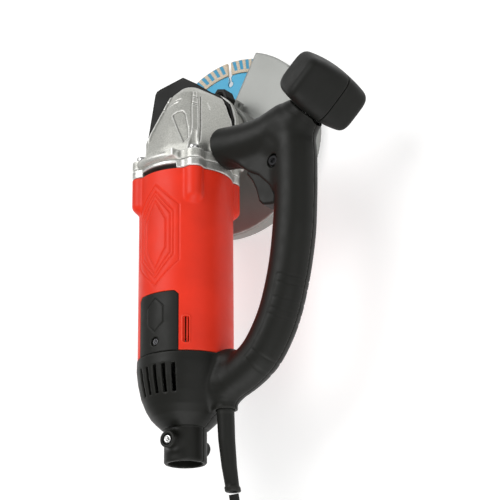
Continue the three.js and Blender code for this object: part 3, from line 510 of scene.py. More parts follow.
def set_attribute(obj, name, values):
    data = obj.data.attributes.new(name, "FLOAT", "POINT").data
    data.foreach_set("value", np.asarray(values, np.float32))


def mark_edges(obj):
    """Stores how sharply each vertex stands out: above zero on outer edges, for wear, below zero in corners,
    for painted shade.
    """
    mesh = obj.data
    n = len(mesh.vertices)
    co = np.empty(n * 3)
    mesh.vertices.foreach_get("co", co)
    co = co.reshape(-1, 3) / MM
    normal = np.empty(n * 3, np.float32)
    mesh.vertices.foreach_get("normal", normal)
    normal = normal.reshape(-1, 3)
    pairs = np.empty(len(mesh.edges) * 2, np.int32)
    mesh.edges.foreach_get("vertices", pairs)
    pairs = pairs.reshape(-1, 2)
    total = np.zeros((n, 3))
    degree = np.zeros(n)
    for a, b in (pairs.T, pairs.T[::-1]):
        for axis in range(3):
            total[:, axis] += np.bincount(a, co[b, axis], n)
        degree += np.bincount(a, minlength=n)
    mean = total / np.maximum(degree, 1)[:, None]
    value = ((co - mean) * normal).sum(1)
    for _ in range(2):
        near = sum(np.bincount(a, value[b], n) for a, b in (pairs.T, pairs.T[::-1]))
        value = 0.5 * value + 0.5 * near / np.maximum(degree, 1)
    set_attribute(obj, "edge", value * 8)


def carve(name, field, low, high, step, material, body, nodes):
    """A piece from a distance field, standing for CAD nodes."""
    points, quads = nets(field, low, high, step)
    obj = mesh_object(name, points, quads, material, body)
    mark_edges(obj)
    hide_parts(*nodes)
    return obj


# -------- gear head
# Stations along Y: bottom half-width, corner half-width, corner height, crown height, bottom height.
HEAD = np.array([
    [-41, 33, 25.5, 26, 31, -33], [-33, 32, 25, 24.5, 29.5, -30], [-31, 32, 24.5, 24, 29, HEAD_BOTTOM],
    [-15, 30.5, 21.5, 18.5, 24, HEAD_BOTTOM], [0, 28.5, 17.2, 12.8, 18, HEAD_BOTTOM],
    [12, 25.2, 14, 8, 13, HEAD_BOTTOM], [20, 19.6, 11.5, 4.7, 9, HEAD_BOTTOM],
    [26, 10.4, 7, 0, 3, HEAD_BOTTOM], [28.6, 3.6, 2.8, -7, -5, HEAD_BOTTOM]], np.float32)
CORNERS = [(1, 1), (-1, 1), (-1, -1), (1, -1)]
FACET = [(-0.8, -3), (2.5, -0.6), (6.9, 0), (10.2, -3.5), (16, -18), (18.5, -28), (15.5, -32)]
KNOTS = (4.5, 6.2, 13)  # where the rib on each upper corner is nicked
CROWN_MARKS = [(-9.5, 7, 0.5, 9.5), (-5, 11.5, 2.5, 12.6)]  # ends of each mark: x, y, x, y


def flange_section(x, z, grow=0.0):
    d = ball2(x, z, HOUSING_R + grow)
    for i, k in CORNERS:
        d = smin(d, ball2(x, z, LUG_R + grow, i * LUG_AT, k * LUG_AT), 3.5)
    return d


def head_field(x, y, z):
    _, wb, wt, zc, zt, zb = [np.interp(y, HEAD[:, 0], HEAD[:, i]).astype(np.float32) for i in range(6)]
    side_x = np.abs(x)
    lean = np.hypot(zc - zb, wb - wt)
    flank = ((side_x - wb) * (zc - zb) + (z - zb) * (wb - wt)) / lean
    slope = np.hypot(wt, zt - zc)
    crown = ((np.sqrt(side_x ** 2 + 16) - wt) * (zt - zc) + (z - zc) * wt) / slope
    body = smax(smax(flank, crown, 4.5), zb - z, 1.2)
    body = smax(body, np.maximum(y - 28.4, -41.5 - y), 2.5)
    # shallow facet on the crown, worn rib along each upper corner with a groove beside it
    body = cut(body, np.maximum(polygon(x, y, FACET), -body - 1.0), 0.35)
    dx, dz = side_x - wt, z - zc
    out, along = 0.7 * dx + 0.71 * dz, 0.71 * dx - 0.7 * dz
    narrow = 2.6 - 0.9 * np.clip((y - 2) / 14, 0, 1)
    rib = smax(np.abs(along) - narrow, np.maximum(out - 0.35, -4 - out), 0.5)
    rib = smax(rib, np.maximum(y - 19, -36 - y), 0.8)
    for knot in KNOTS:
        rib = cut(rib, np.maximum(np.abs(y - knot + 0.35 * along) - 0.55, -0.6 - out), 0.5)
    body = smin(body, rib, 0.7)
    groove = np.maximum(np.abs(along - 4.6) - 0.45, np.maximum(y - 15, -31 - y))
    body = cut(body, np.maximum(groove, -body - 0.8), 0.4)
    # two short marks on the crown
    for x0, y0, x1, y1 in CROWN_MARKS:
        t = np.clip(((x - x0) * (x1 - x0) + (y - y0) * (y1 - y0)) / ((x1 - x0) ** 2 + (y1 - y0) ** 2), 0, 1)
        mark = np.hypot(x - x0 - t * (x1 - x0), y - y0 - t * (y1 - y0)) - 0.35
        body = cut(body, np.maximum(np.maximum(mark, -body - 0.6), -z), 0.4)
    # side bosses
    boss = capped(ball2(y, z, 9.5, BOSS_Y, 0), side_x, 14, BOSS_FACE, 0.8)
    body = smin(body, boss, 2.5)
    # flange with its four lugs
    ring = capped(flange_section(x, z), y, FLANGE_REAR, FLANGE_FRONT, 0.9)
    body = smin(body, ring, 1.6)
    # lip over the air slot, clear of the upper corners
    turned_x, turned_z = turned_frame(x, z, CLOCK)
    around = np.hypot(turned_x, turned_z)
    lip = np.hypot((around - 35.2) * 0.8, y + 44.0) - 3.5
    lip = smax(lip, np.maximum(np.abs(turned_x + 4.5) - 23.5, -turned_z), 1.6)
    body = smin(body, lip, 0.8)
    block = box_field(turned_x, y, turned_z, (9.5, -46, 28), (17.5, -39.6, 37.6), 0.8)
    body = smin(body, block, 0.6)
    # screw recesses above the lugs, and the screws' holes
    for i, k in CORNERS:
        hole = ball2(x, z, 4.7, i * LUG_AT, k * LUG_AT)
        body = cut(body, np.maximum(hole, FLANGE_FRONT + 0.2 - y), 0.6)
        body = cut(body, ball2(x, z, CASE_SCREW_HOLE, i * LUG_AT, k * LUG_AT), 0.3)
    # chamber for the gears, tunnel for the pinion, bearing seat, boss bores, lock button's recess
    body = cut(body, np.maximum(ball2(x, y, CHAMBER_R), z + 2.7), 0.3)
    body = cut(body, np.maximum(ball2(x, z, 9.6), y + 8.5), 0.3)
    body = cut(body, np.maximum(ball2(x, z, 17.5), y + 40.5), 0.3)
    body = cut(body, np.maximum(ball2(x, y, 6.5), z - 12.5), 0.3)
    body = cut(body, np.maximum(ball2(y, z, BOSS_BORE, BOSS_Y, 0), 15 - side_x), 0.4)
    return cut(body, np.maximum(ball2(y, z, 5.4, -10, -12), x + 26.2), 0.5)


def plate_field(x, y, z):
    body = capped(flange_section(x, z), y, HOUSING_FRONT + 0.3, PLATE_FRONT, 0.8)
    body = smin(body, capped(ball2(x, z, 17), y, -62, PLATE_FRONT, 0.5), 0.5)
    u, w = turned_frame(x, z, CLOCK)
    slot = box_field(u, y, w, (-16.6, -60, 21), (16.6, -50.6, 50), 0.5)
    body = cut(body, slot, 0.5)
    for i, k in CORNERS:
        body = cut(body, ball2(x, z, CASE_SCREW_HOLE, i * LUG_AT, k * LUG_AT), 0.3)
    body = cut(body, np.maximum(ball2(x, z, 13.3), y + 49.5), 0.3)
    return cut(body, ball2(x, z, 7.5), 0.3)


# -------- motor housing and its covers
HEX_INSETS = (0, 4.4, 6.6, 10.6)
HEX_TURN, HEX_GROOVE = math.radians(-5), 0.75
HEX_SHAPE = (20.3, -66, -146, 18)  # half-width, front tip, rear tip, length of each tip
KEY = [(-0.9, -190.8), (0.9, -190.8), (0.9, -173.4), (-0.9, -173.4)]
KEY_TURN = math.radians(35.7)


def hexagon_groove(x, y, z, centre, half, tip_front, tip_rear, shoulder, insets, width=0.62):
    """Depth from 0 to 1 of grooves along hexagon outlines wrapped round the motor's axis."""
    u = (np.arctan2(x, z) - centre) * HOUSING_R
    depth = np.zeros(x.shape, np.float32)
    for d in insets:
        w = half - d
        a, b, s = tip_front - 1.25 * d, tip_rear + 1.25 * d, shoulder - 0.25 * d
        outline = [(0, a), (w, a - s), (w, b + s), (0, b), (-w, b + s), (-w, a - s)]
        depth = np.maximum(depth, np.exp(-(polygon(u, y, outline) / width) ** 2))
    return depth


def cover_window(x, y, z, grow):
    u, w = turned_frame(x, z, CLOCK)
    corner = 2.6
    outline = [(-COVER_HALF, -214), (COVER_HALF, -214), (COVER_HALF, COVER_FRONT - corner),
               (COVER_HALF - corner, COVER_FRONT), (corner - COVER_HALF, COVER_FRONT),
               (-COVER_HALF, COVER_FRONT - corner)]
    return np.maximum(polygon(u, y, outline) - grow, -w)


def housing_field(x, y, z):
    around = np.hypot(x, z)
    body = around - HOUSING_R
    taper = np.clip((LUG_END + 8 - y) / 8, 0, 1)
    for i, k in CORNERS:
        pull = 1 - 0.16 * taper ** 2
        lug = ball2(x, z, LUG_R - 2.6 * taper ** 2, i * LUG_AT * pull, k * LUG_AT * pull)
        lug = smax(lug, LUG_END - y, 2.5)
        body = smin(body, lug, 2.2)
    body = smax(body, np.maximum(HOUSING_REAR - y, y - HOUSING_FRONT), 0.7)
    for side in (1, -1):
        groove = hexagon_groove(x, y, side * z, side * HEX_TURN, *HEX_SHAPE, HEX_INSETS)
        body = body + HEX_GROOVE * groove * (side * z > 0) * (around > HOUSING_R - 1.5)
    # rimmed keyhole beside the upper brush cover
    u, w = turned_frame(x, z, KEY_TURN)
    key = polygon(u, y, KEY) - 1.4
    rim = np.maximum(np.abs(key - 0.5) - 0.5, np.maximum(around - HOUSING_R - 0.45, -w))
    body = smin(body, rim, 0.4)
    body = cut(body, np.maximum(key, np.maximum(HOUSING_R - 2.2 - w, -w)), 0.3)
    for side in (1, -1):
        body = cut(body, cover_window(side * x, y, side * z, 0.3), 0.3)
    return cut(body, around - HOUSING_R + HOUSING_WALL, 0.3)


def cover_field(sign):
    def field(x, y, z):
        around = np.hypot(x, z)
        body = np.maximum(around - HOUSING_R, HOUSING_R - HOUSING_WALL - around)
        body = smax(body, cover_window(sign * x, y, sign * z, 0.0), 0.5)
        body = smax(body, HOUSING_REAR - y, 0.4)
        mark = hexagon_groove(sign * x, y, sign * z, CLOCK, 7.6, -156.5, -182, 6.5, (0,), 0.5)
        body = body + 0.5 * mark * (around > HOUSING_R - 1.2)
        u, w = turned_frame(x, z, CLOCK)
        seat = ball2(u, y, 3.5, 0, COVER_SCREW_Y)
        body = cut(body, np.maximum(seat, HOUSING_R - 2.1 - sign * w), 0.4)
        return cut(body, np.maximum(ball2(u, y, 1.6, 0, COVER_SCREW_Y), -sign * w), 0.2)
    return field


# -------- clamshell: rear casing, handle, pole socket
# Stations of limbs: x, y, radius.
GRIP = [(16, -227.5, 11.8), (28, -225, 13.2), (42, -219.2, 14.7), (55.2, -212, 15.6), (67, -203, 15.9),
        (76.5, -190, 16), (84.8, -173, 16), (91, -152.5, 16), (95.2, -133, 16.1), (98.2, -112, 16.3),
        (99.8, -91, 16.1), (100.3, -70, 16.3), (100, -48, 16.5), (98.5, -32, 15.5)]
ARM = [(ARM_END, -33.5, 15.6), (34, -33.5, 16.4), (45, -34.4, 16.6), (62, -34.4, 16.5), (78, -32.3, 16.6),
       (93, -27, 16.8), (104, -22, 13)]
NECK = [(88, -43.4, 13), (100, -31.8, 16), (107, -25, 15.2), (110.2, -21.9, 14.6)]
BOSS_LIMB = [(40, -206, 12), (37.5, -219, 13.5), (36, -230, 10.6), (BOOT_X, -234, 9.2), (BOOT_X, -240, 9.2)]
DOME = [(36.7, HOUSING_REAR - 0.3), (36.9, -206), (35.7, -216), (33.3, -227), (29.6, -236), (26, -242),
        (22.2, -246), (17.8, -250), (TUBE_R, -250.4), (TUBE_R, TUBE_END + 1.2), (TUBE_R - 1, TUBE_END)]
WEB = [(44, -44), (55, -54), (63, -61), (73, -66.5), (86, -80), (98, -70), (90, -40), (60, -36)]
HANDLE_SCREWS = [(87.3, -58, 1), (95, -131, -1), (70, -198.5, -1)]  # x, y, side the head is on
TRIGGER_OPENING = [(52, -64), (60, -54.5), (75, -54.5), (84, -66), (93, -76), (96, -96), (80, -98), (60, -90)]
HOLLOW = [(0, -190), (34, -190), (34, -203), (33.2, -214), (30.6, -226), (26.6, -234), (20, -240), (0, -240)]
GRIP_RINGS = (52, 60, 88, 93, 101, 112, 118)  # distances along the grip of its shallow rings
VENT = [(-1.2, -227.6), (1.2, -227.6), (1.2, -207.4), (-1.2, -207.4)]
VENT_PITCH = math.radians(12.5)


def shell_field(x, y, z):
    around = np.hypot(x, z)
    outer = [(0, HOUSING_REAR - 0.3), *DOME, (0, TUBE_END)]
    dome = polygon(around, y, outer)
    grip, along, aside = limb(x, y, z, GRIP)
    rings = np.zeros(x.shape, np.float32)
    for s in GRIP_RINGS:
        rings = np.maximum(rings, np.exp(-((along - s) / 0.7) ** 2))
    panel = np.exp(-((aside - 0.5) / 0.6) ** 2) * ((along > GRIP_RINGS[0]) & (along < GRIP_RINGS[-1]))
    grip = grip + 0.4 * np.maximum(rings * (aside > 0.5), panel)
    arm = limb(x, y, z, ARM, 2)[0]
    arm = smax(arm, ARM_END - x, 3.0)
    neck = limb(x, y, z, NECK, 2)[0]
    toward = (x - KNOB[0]) * math.cos(NECK_TURN) + (y - KNOB[1]) * math.sin(NECK_TURN)
    beside = (x - KNOB[0]) * math.sin(NECK_TURN) - (y - KNOB[1]) * math.cos(NECK_TURN)
    off_axis = np.hypot(beside, z)
    neck_end = toward + 21.3 - 1.2 * np.minimum(off_axis / 16, 1.2) ** 2
    neck = smax(neck, neck_end, 0.8)
    gland = limb(x, y, z, BOSS_LIMB, 2)[0]
    gland = smax(gland, -240 - y, 0.8)
    web = smax(polygon(x, y, WEB), np.abs(z) - 10.5, 3)
    body = smin(grip, arm, 7)
    body = smin(body, neck, 4)
    body = smin(body, web, 5)
    body = smax(body, neck_end, 0.8)
    body = smin(body, smin(dome, gland, 5), 4.5)
    clamp = np.hypot(x, y - CLAMP_Y)
    body = smin(body, smax(clamp - CLAMP_R, np.abs(z) - CLAMP_TOP, 0.6), 5)
    # clearances: motor housing, gear case, hollow, bores
    body = cut(body, np.maximum(around - HOUSING_R - 0.6, HOUSING_REAR - 0.3 - y), 0.4)
    gear_case = np.maximum(flange_section(x, z, 0.7), np.maximum(-64 - y, y - FLANGE_FRONT - 0.4))
    body = cut(body, gear_case, 0.4)
    body = cut(body, polygon(around, y, HOLLOW), 0.4)
    # partition in front of the air slots, with a hole for the rotor's end: a sheet standing in for shade
    shade_partition = np.maximum(np.maximum(np.abs(y + 205.6) - 0.8, around - 35), 8 - around)
    body = smin(body, shade_partition, 0.3)
    body = cut(body, np.maximum(around - TUBE_BORE, y - SOCKET_FLOOR), 0.6)
    body = cut(body, np.maximum(ball2(x, z, 7, BOOT_X, 0), y + 216), 0.4)
    for i in (-2, -1, 0, 1, 2):
        for sign, clock in ((1, CLOCK), (-1, 0)):
            u, w = turned_frame(sign * x, sign * z, sign * clock + i * VENT_PITCH)
            vent = polygon(u, y, VENT) - 0.35
            body = cut(body, np.maximum(vent, 15 - w), 0.5)
    for sx, sy, side in HANDLE_SCREWS:
        place = np.hypot(x - sx, y - sy)
        body = cut(body, np.maximum(place - 5.4, 8.6 - side * z), 0.7)
    body = cut(body, np.maximum(ball2(x, y, 2.4, 0, CLAMP_Y), 12 - np.abs(z)), 0.3)
    recess = np.maximum(ball2(x, y, CLAMP_RECESS_R, 0, CLAMP_Y), CLAMP_RECESS_FLOOR - np.abs(z))
    body = cut(body, recess, 0.3)
    opening = smax(polygon(x, y, TRIGGER_OPENING), np.abs(z) - 8.6, 0.6)
    body = cut(body, opening, 0.8)
    return cut(body, np.maximum(ball2(y, z, BOSS_BORE, BOSS_Y, 0), x - 50), 0.3)


def half_shell(sign):
    return lambda x, y, z: smax(shell_field(x, y, z), 0.16 - sign * z, 0.55)


TRIGGER = [(62.5, -56.8), (60.9, -62.2), (66, -69), (69, -75.5), (70.6, -81.6), (71.8, -86), (75, -89.6),
           (80, -90.4), (86.3, -90.7), (87.3, -84), (82.5, -72.5), (73.4, -63), (71.4, -56.8)]


def trigger_field(x, y, z):
    body = smax(polygon(x, y, TRIGGER) + 0.2, np.abs(z) - 8.1, 2.2)
    return cut(body, ball2(x, y, 1.9, 69, -60.5), 0.2)


# -------- palm knob
NECK_DIR = np.array((math.cos(NECK_TURN), math.sin(NECK_TURN), 0))
KNOB_DIR = np.array((math.sin(NECK_TURN) * math.sin(KNOB_TURN), -math.cos(NECK_TURN) * math.sin(KNOB_TURN),
                     -math.cos(KNOB_TURN)))
ACROSS = np.cross(KNOB_DIR, NECK_DIR)


def knob_local(x, y, z):
    p = [x - KNOB[0], y - KNOB[1], z - KNOB[2]]
    return [sum(c * q for c, q in zip(d, p)) for d in (KNOB_DIR, NECK_DIR, ACROSS)]


def knob_field(x, y, z):
    a, b, c = knob_local(x, y, z)
    width = KNOB_BARREL - 4.3 * (a / KNOB_HALF) ** 2
    section = (np.abs(b) ** 4.2 + np.abs(c) ** 4.2 + 1e-3) ** (1 / 4.2) - width
    return smax(section, np.abs(a) - KNOB_HALF, 5.5)


def knob_half(sign):
    def field(x, y, z):
        a = knob_local(x, y, z)[0]
        return smax(knob_field(x, y, z), 0.18 - sign * (a - KNOB_SPLIT), 0.8)
    return field


# -------- guard and disc
def guard_field(x, y, z):
    c, s = math.cos(GUARD_TURN), math.sin(GUARD_TURN)
    gx, gy = x * c + y * s, -x * s + y * c
    far = np.hypot(gx, gy)
    cheek = -0.984 * gx + 0.179 * (np.abs(gy) - 78.8)
    disc = smax(far - GUARD_R, cheek, 0.8)
    outer = smax(disc, z - GUARD_TOP, 1.6)
    inner = smax(far - GUARD_R + GUARD_SHEET, z - GUARD_TOP + GUARD_SHEET, 1.6)
    sheet = smax(cut(outer, inner, 0.4), GROUND + 0.1 - z, 0.5)
    round_part = capped(far - 30.2, z, GUARD_TOP - GUARD_SHEET, GUARD_TOP, 0.5)
    sheet = smin(sheet, round_part, 0.5)
    band = capped(far - 27.2, z, GUARD_TOP - 1, -47, 0.5)
    ear = box_field(gx, gy, z, (-5, 25, -60), (5, 33.5, -48), 1.2)
    body = smin(sheet, smin(band, ear, 0.8), 1.2)
    crease = np.hypot(far - GUARD_R - 0.2, z - GUARD_TOP + 2.6) - 1.15
    body = cut(body, crease, 0.2)
    body = cut(body, far - NECK_R - 0.4, 0.3)
    body = cut(body, box_field(gx, gy, z, (-1, 20, -61), (1, 40, -40), 0.2), 0.2)
    return cut(body, np.hypot(gy - 30, z + 54) - 2, 0.2)


def disc_slots(x, y):
    """The keyholed slots between the segments, and the angle from the middle of each point's segment."""
    pitch = 2 * math.pi / SEGMENTS
    turn = np.arctan2(-x, y) - BLADE_PHASE
    local = (turn + pitch / 2) % pitch - pitch / 2
    far = np.hypot(x, y)
    u, v = far * np.sin(local), far * np.cos(local)
    slot = np.maximum(np.abs(u) - 1.7, CORE_R - 1.5 - v)
    slot = np.minimum(slot, np.maximum(np.abs(u) - 0.9, 56 - v))
    slot = np.minimum(slot, np.hypot(u, v - 55.5) - 2.4)
    mid = turn % pitch - pitch / 2
    return slot, mid


def core_field(x, y, z):
    far = np.hypot(x, y)
    slot, _ = disc_slots(x, y)
    body = smax(far - CORE_R + 0.2, np.abs(z - BLADE_Z) - CORE_T / 2, 0.2)
    body = cut(body, slot, 0.2)
    return cut(body, far - 11.11, 0.2)


def pocket_depth(x, y):
    """Slanted pockets in both faces of a segment, from 0 outside to 1 inside."""
    far = np.hypot(x, y)
    _, mid = disc_slots(x, y)
    slanted = mid * 69 - (far - 69) * 0.28
    inside = np.full(x.shape, -9.0, np.float32)
    for c in (-12, -6, 0, 6, 12):
        stripe = np.minimum(1.5 - np.abs(slanted - c), 4.2 - np.abs(far - 70.4))
        inside = np.maximum(inside, stripe)
    return np.clip(inside / 0.4 + 0.5, 0, 1)


def segment_field(x, y, z):
    far = np.hypot(x, y)
    slot, _ = disc_slots(x, y)
    body = smax(np.maximum(far - BLADE_R, CORE_R + 0.1 - far), np.abs(z - BLADE_Z) - SEGMENT_T / 2, 0.3)
    body = body + 0.35 * pocket_depth(x, y) * (np.abs(z - BLADE_Z) > 0.5)
    return cut(body, slot, 0.25)


SHIELD_OUTLINE = [(29.6, -22), (29.6, 0), (25.6, 14.8), (14.8, 25.6), (9.1, 28.2), (-6.4, 40.2),
                  (-19.6, 48.8), (-42, 44), (-45.6, 42.8), (-47.4, 40), (-57.6, -16), (-40, -29.5),
                  (22, -29.5)]


def shield_field(x, y, z):
    body = smax(polygon(x, y, SHIELD_OUTLINE), np.maximum(SPLASH_BOTTOM - z, z - SPLASH_TOP), 0.5)
    return cut(body, ball2(x, y, CHAMBER_R), 0.3)


def neck_field(x, y, z):
    profile = [(12, -24.6), (29.4, -24.6), (29.4, -30), (NECK_R, -31.5), (NECK_R, -57), (11, -57),
               (11, -45.5), (16.3, -45.5), (16.3, -33.5), (12, -33.5)]
    return polygon(np.hypot(x, y), z, profile)


LEVER = [(3, 26), (12.4, 22.4), (16, 27.5), (13, 35), (6, 36.6), (1.6, 31.6)]


def lever_field(x, y, z):
    body = smax(polygon(x, y, LEVER) + 0.1, np.maximum(-46.4 - z, z + 34), 1.2)
    body = cut(body, np.maximum(polygon(x, y, LEVER) + 3.2, -35 - z), 0.5)
    return cut(body, ball2(x, y, 2.2, 8.6, 29.4), 0.3)


# -------- lofted and turned pieces
def loft(name, rings, material, body, nodes):
    """A closed tube through rings of points, capped with fans."""
    rings = [np.array(r, float) for r in rings]
    n = len(rings[0])
    points = np.concatenate([*rings, rings[0].mean(0)[None], rings[-1].mean(0)[None]])
    faces = []
    for i in range(len(rings) - 1):
        for j in range(n):
            k = (j + 1) % n
            faces.append((i * n + j, i * n + k, (i + 1) * n + k, (i + 1) * n + j))
    last = (len(rings) - 1) * n
    for j in range(n):
        k = (j + 1) % n
        faces.append((k, j, len(points) - 2))
        faces.append((last + j, last + k, len(points) - 1))
    obj = mesh_object(name, points, faces, material, body)
    work = bmesh.new()
    work.from_mesh(obj.data)
    bmesh.ops.recalc_face_normals(work, faces=work.faces)
    work.to_mesh(obj.data)
    work.free()
    mark_edges(obj)
    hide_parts(*nodes)
    return obj


def ellipse_ring(centre, u, v, ru, rv, sides, power=2.0):
    a = 2 * math.pi * (np.arange(sides) + 0.5) / sides
    c = np.sign(np.cos(a)) * np.abs(np.cos(a)) ** (2 / power)
    s = np.sign(np.sin(a)) * np.abs(np.sin(a)) ** (2 / power)
    return np.array(centre) + ru * c[:, None] * np.array(u) + rv * s[:, None] * np.array(v)


def screw(name, axis, centre, head_r, head_t, shank_r, length, socket_r, material, body, node):
    """A socket screw: centre is the outer face's middle and axis points out of it."""
    axis = np.array(axis, float)
    u = np.cross(axis, (0, 0, 1) if abs(axis[2]) < 0.9 else (0, 1, 0))
    u = u / np.linalg.norm(u)
    v = np.cross(axis, u)
    centre = np.array(centre, float)
    sides = 36
    turned = [(-length, 0.6 * shank_r), (-length + 0.6, shank_r), (-head_t, shank_r), (-head_t, head_r - 0.2),
              (-head_t + 0.2, head_r), (-0.45, head_r), (-0.12, head_r - 0.2), (0, head_r - 0.55),
              (0, socket_r + 0.3)]
    rings = [ellipse_ring(centre + axis * h, u, v, r, r, sides) for h, r in turned]
    angle = 2 * math.pi * (np.arange(sides) + 0.5) / sides
    hexed = np.cos(math.pi / 6) / np.cos((angle + math.pi / 6) % (math.pi / 3) - math.pi / 6)
    outward = np.cos(angle)[:, None] * u + np.sin(angle)[:, None] * v
    for h, r in ((-0.2, socket_r), (-head_t * 0.62, socket_r * 0.98)):
        rings.append(centre + axis * h + r * hexed[:, None] * outward)
    return loft(name, rings, material, body, [node])


def make_boot():
    """The cord's boot, from stations and rings of y, radius and droop, with a collar at its free end."""
    stations = [(-241, 6.6, 0), (-262, 6.3, 1.1), (-282, 5.7, 3.6), (-295.4, 5.25, 6.3)]
    at_y, radius, droop = np.array(stations)[::-1].T
    rings = [(-222, 6.55, 0)]
    for y in np.linspace(-241, -295.4, 34):
        rings.append((y, np.interp(y, at_y, radius) - 0.02, np.interp(y, at_y, droop)))
    rings += [(-296, 5.6, 6.42), (-296.7, 5.95, 6.58), (-298.9, 5.95, 7.1), (-299.6, 5.5, 7.3),
              (-299.85, 4.6, 7.38)]
    shapes = [ellipse_ring((BOOT_X + BOOT_LEAN * d, y, -d), (1, 0, 0), (0, 0, 1), r, r, 48)
              for y, r, d in rings]
    return loft("strain_relief", shapes, RUBBER, "housing", ["cord_boot"])


PLUG = (-34, -505.3, GROUND + 12.2)  # where the cord enters the plug, which points along -X
PLUG_HALF_HEIGHT, PIN_APART = 11.7, 19
PLUG_STATIONS = [  # distance from the cord's end, half-width
    (0.1, 4.6), (0.8, 5), (3, 5.9), (3.6, 5.2), (5.6, 5.3), (6.2, 6.6), (8.2, 6.9), (8.8, 5.9), (10.8, 6.1),
    (11.4, 7.5), (13.4, 7.8), (14, 6.9), (16, 7.2), (17, 8.3), (20, 9.2), (27, 11.9), (33, 14.6), (36, 15.9),
    (39, 16.5), (41.4, 16.3), (42.3, 15.4), (42.4, 13)]
PIN_STATIONS = [(42.9, 2.35), (58, 2.35), (59.6, 2.1), (60.6, 1.3), (60.9, 0.5)]


def make_plug():
    x0, y0, z0 = PLUG
    rings = [ellipse_ring((x0 - t, y0, z0), (0, 1, 0), (0, 0, 1), r, min(r, PLUG_HALF_HEIGHT), 56, 2.6)
             for t, r in PLUG_STATIONS]
    pieces = [loft("plug_shell", rings, RUBBER, "housing", ["plug_body"])]
    for n in (1, 2):
        centre_y = y0 + (n - 1.5) * PIN_APART
        rings = [ellipse_ring((x0 - t, centre_y, z0), (0, 1, 0), (0, 0, 1), r, r, 24)
                 for t, r in PIN_STATIONS]
        pieces.append(loft(f"pin_{n}", rings, STEEL, "housing", [f"plug_pin_{n}"]))
    return pieces


# -------- cord
LAY = GROUND + 3.9  # height of the cord's axis where it lies on the ground
CORD_ROUTE = [
    (37.6, -301.3, -7.7), (38, -312, -10.6), (38.3, -325, -16.4), (38.6, -338, -25.6), (39, -350, -37),
    (39.8, -361, -48.6), (40.6, -372, -58.4), (41.6, -383, -65.6), (42.6, -395, -69.8),
    (42.4, -404, LAY), (42.2, -412, LAY), (42, -426, LAY)]
COIL = (-10.2, -440)
TURN_R = (52.1, 44.7, 37.3, 29.9, 33.6, 41.0, 48.4)  # four turns on the ground, three nested on them
NEST = 6.45  # height of the upper layer over the lower
PLUG_ROUTE = [(26, -471.5, LAY + NEST + 0.9), (14, -483.5, LAY + NEST + 1.5), (0, -494, LAY + NEST + 1.8),
              (-16, -502, GROUND + 12.1), (-33.8, -505.3, GROUND + 12.2)]
STEP_OVER = math.radians(60)  # stretch at the end of each turn where it moves to the next radius
LEAVE = math.radians(40)  # how far into the last turn the cord leaves for the plug


def coil_points():
    """The wound turns, clockwise seen from above, each moving over to the next radius at its end."""
    points = []
    for k in range(len(TURN_R)):
        last = k == len(TURN_R) - 1
        sweep = LEAVE if last else 2 * math.pi
        steps = max(3, round(sweep / math.radians(12)))
        for i in range(steps):
            a = sweep * i / steps
            t = 0 if last else min(1, max(0, (a - 2 * math.pi + STEP_OVER) / STEP_OVER))
            t = t * t * (3 - 2 * t)
            r = TURN_R[k] if last else TURN_R[k] + (TURN_R[k + 1] - TURN_R[k]) * t
            level = (1 if k > 3 else 0) + (t if k == 3 else 0)
            points.append((COIL[0] + r * math.cos(-a), COIL[1] + r * math.sin(-a), LAY + NEST * level))
    return points


def make_cord():
    p = np.array([*CORD_ROUTE, *coil_points(), *PLUG_ROUTE])
    curve = bpy.data.curves.new("mains_lead", "CURVE")
    curve.dimensions, curve.bevel_depth, curve.bevel_resolution = "3D", CORD_R * MM, 5
    curve.resolution_u = 4
    spline = curve.splines.new("BEZIER")
    spline.bezier_points.add(len(p) - 1)
    slope = np.gradient(p, axis=0)
    for i, b in enumerate(spline.bezier_points):
        before = np.linalg.norm(p[i] - p[max(0, i - 1)]) / 3
        after = np.linalg.norm(p[min(len(p) - 1, i + 1)] - p[i]) / 3
        d = slope[i] / np.linalg.norm(slope[i])
        b.handle_left_type = b.handle_right_type = "FREE"
        b.co = at(*p[i])
        b.handle_left, b.handle_right = at(*(p[i] - d * before)), at(*(p[i] + d * after))
    lead = bpy.data.objects.new("mains_lead", curve)
    bpy.context.scene.collection.objects.link(lead)
    curve.materials.append(RUBBER)
    curve.use_fill_caps = True
    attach(lead, "housing")
    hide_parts("power_cord", "cord_coil")
    return lead


def make_cord_set():
    boot = make_boot()
    plug = make_plug()
    lead = make_cord()
    at(*CORD_ROUTE[0])


make_cord_set()


# -------- the pieces
def make_head():
    carve("gear_head", head_field, (-37, -48.5, -37), (37, 30, 40), 0.62, CAST, "housing",
          ["gear_housing"])
    carve("head_plate", plate_field, (-37.5, -63, -37.5), (37.5, -47, 37.5), 0.62, PLATE, "housing",
          ["bearing_plate"])
    carve("splash_plate", shield_field, (-59, -31, -25.2), (31, 50, -21.4), 0.5, SHIELD, "housing",
          ["chip_shield"])
    carve("clamp_neck", neck_field, (-30.5, -30.5, -58), (30.5, 30.5, -23.6), 0.8, CAST, "housing",
          ["bearing_cover"])
    for n, (i, k) in enumerate(CORNERS, 1):
        screw(f"case_screw_{n}", (0, 1, 0), (i * LUG_AT, -35.7, k * LUG_AT), 3.85, 3.8, 1.85, 42, 1.9, STEEL,
              "housing", f"gearcase_screw_{n}")


def make_housing():
    carve("red_casing", housing_field, (-38, -199.2, -38), (38, -53.8, 38), 0.6, RED, "housing",
          ["motor_housing"])
    for sign, side in ((1, "upper"), (-1, "lower")):
        bottom, top = sorted((sign * 22, sign * 37.4))
        carve(f"brush_door_{side}", cover_field(sign), (-24, -199, bottom), (24, -151, top), 0.55, BLACK,
              "housing", [f"brush_cover_{side}"])
        out = np.array((math.sin(CLOCK), 0, math.cos(CLOCK))) * sign
        screw(f"brush_door_screw_{side}", out, out * 35.3 + (0, COVER_SCREW_Y, 0), 2.6, 0.9, 1.35, 8.2, 1.3,
              DARK, "housing", f"brush_cover_screw_{side}")


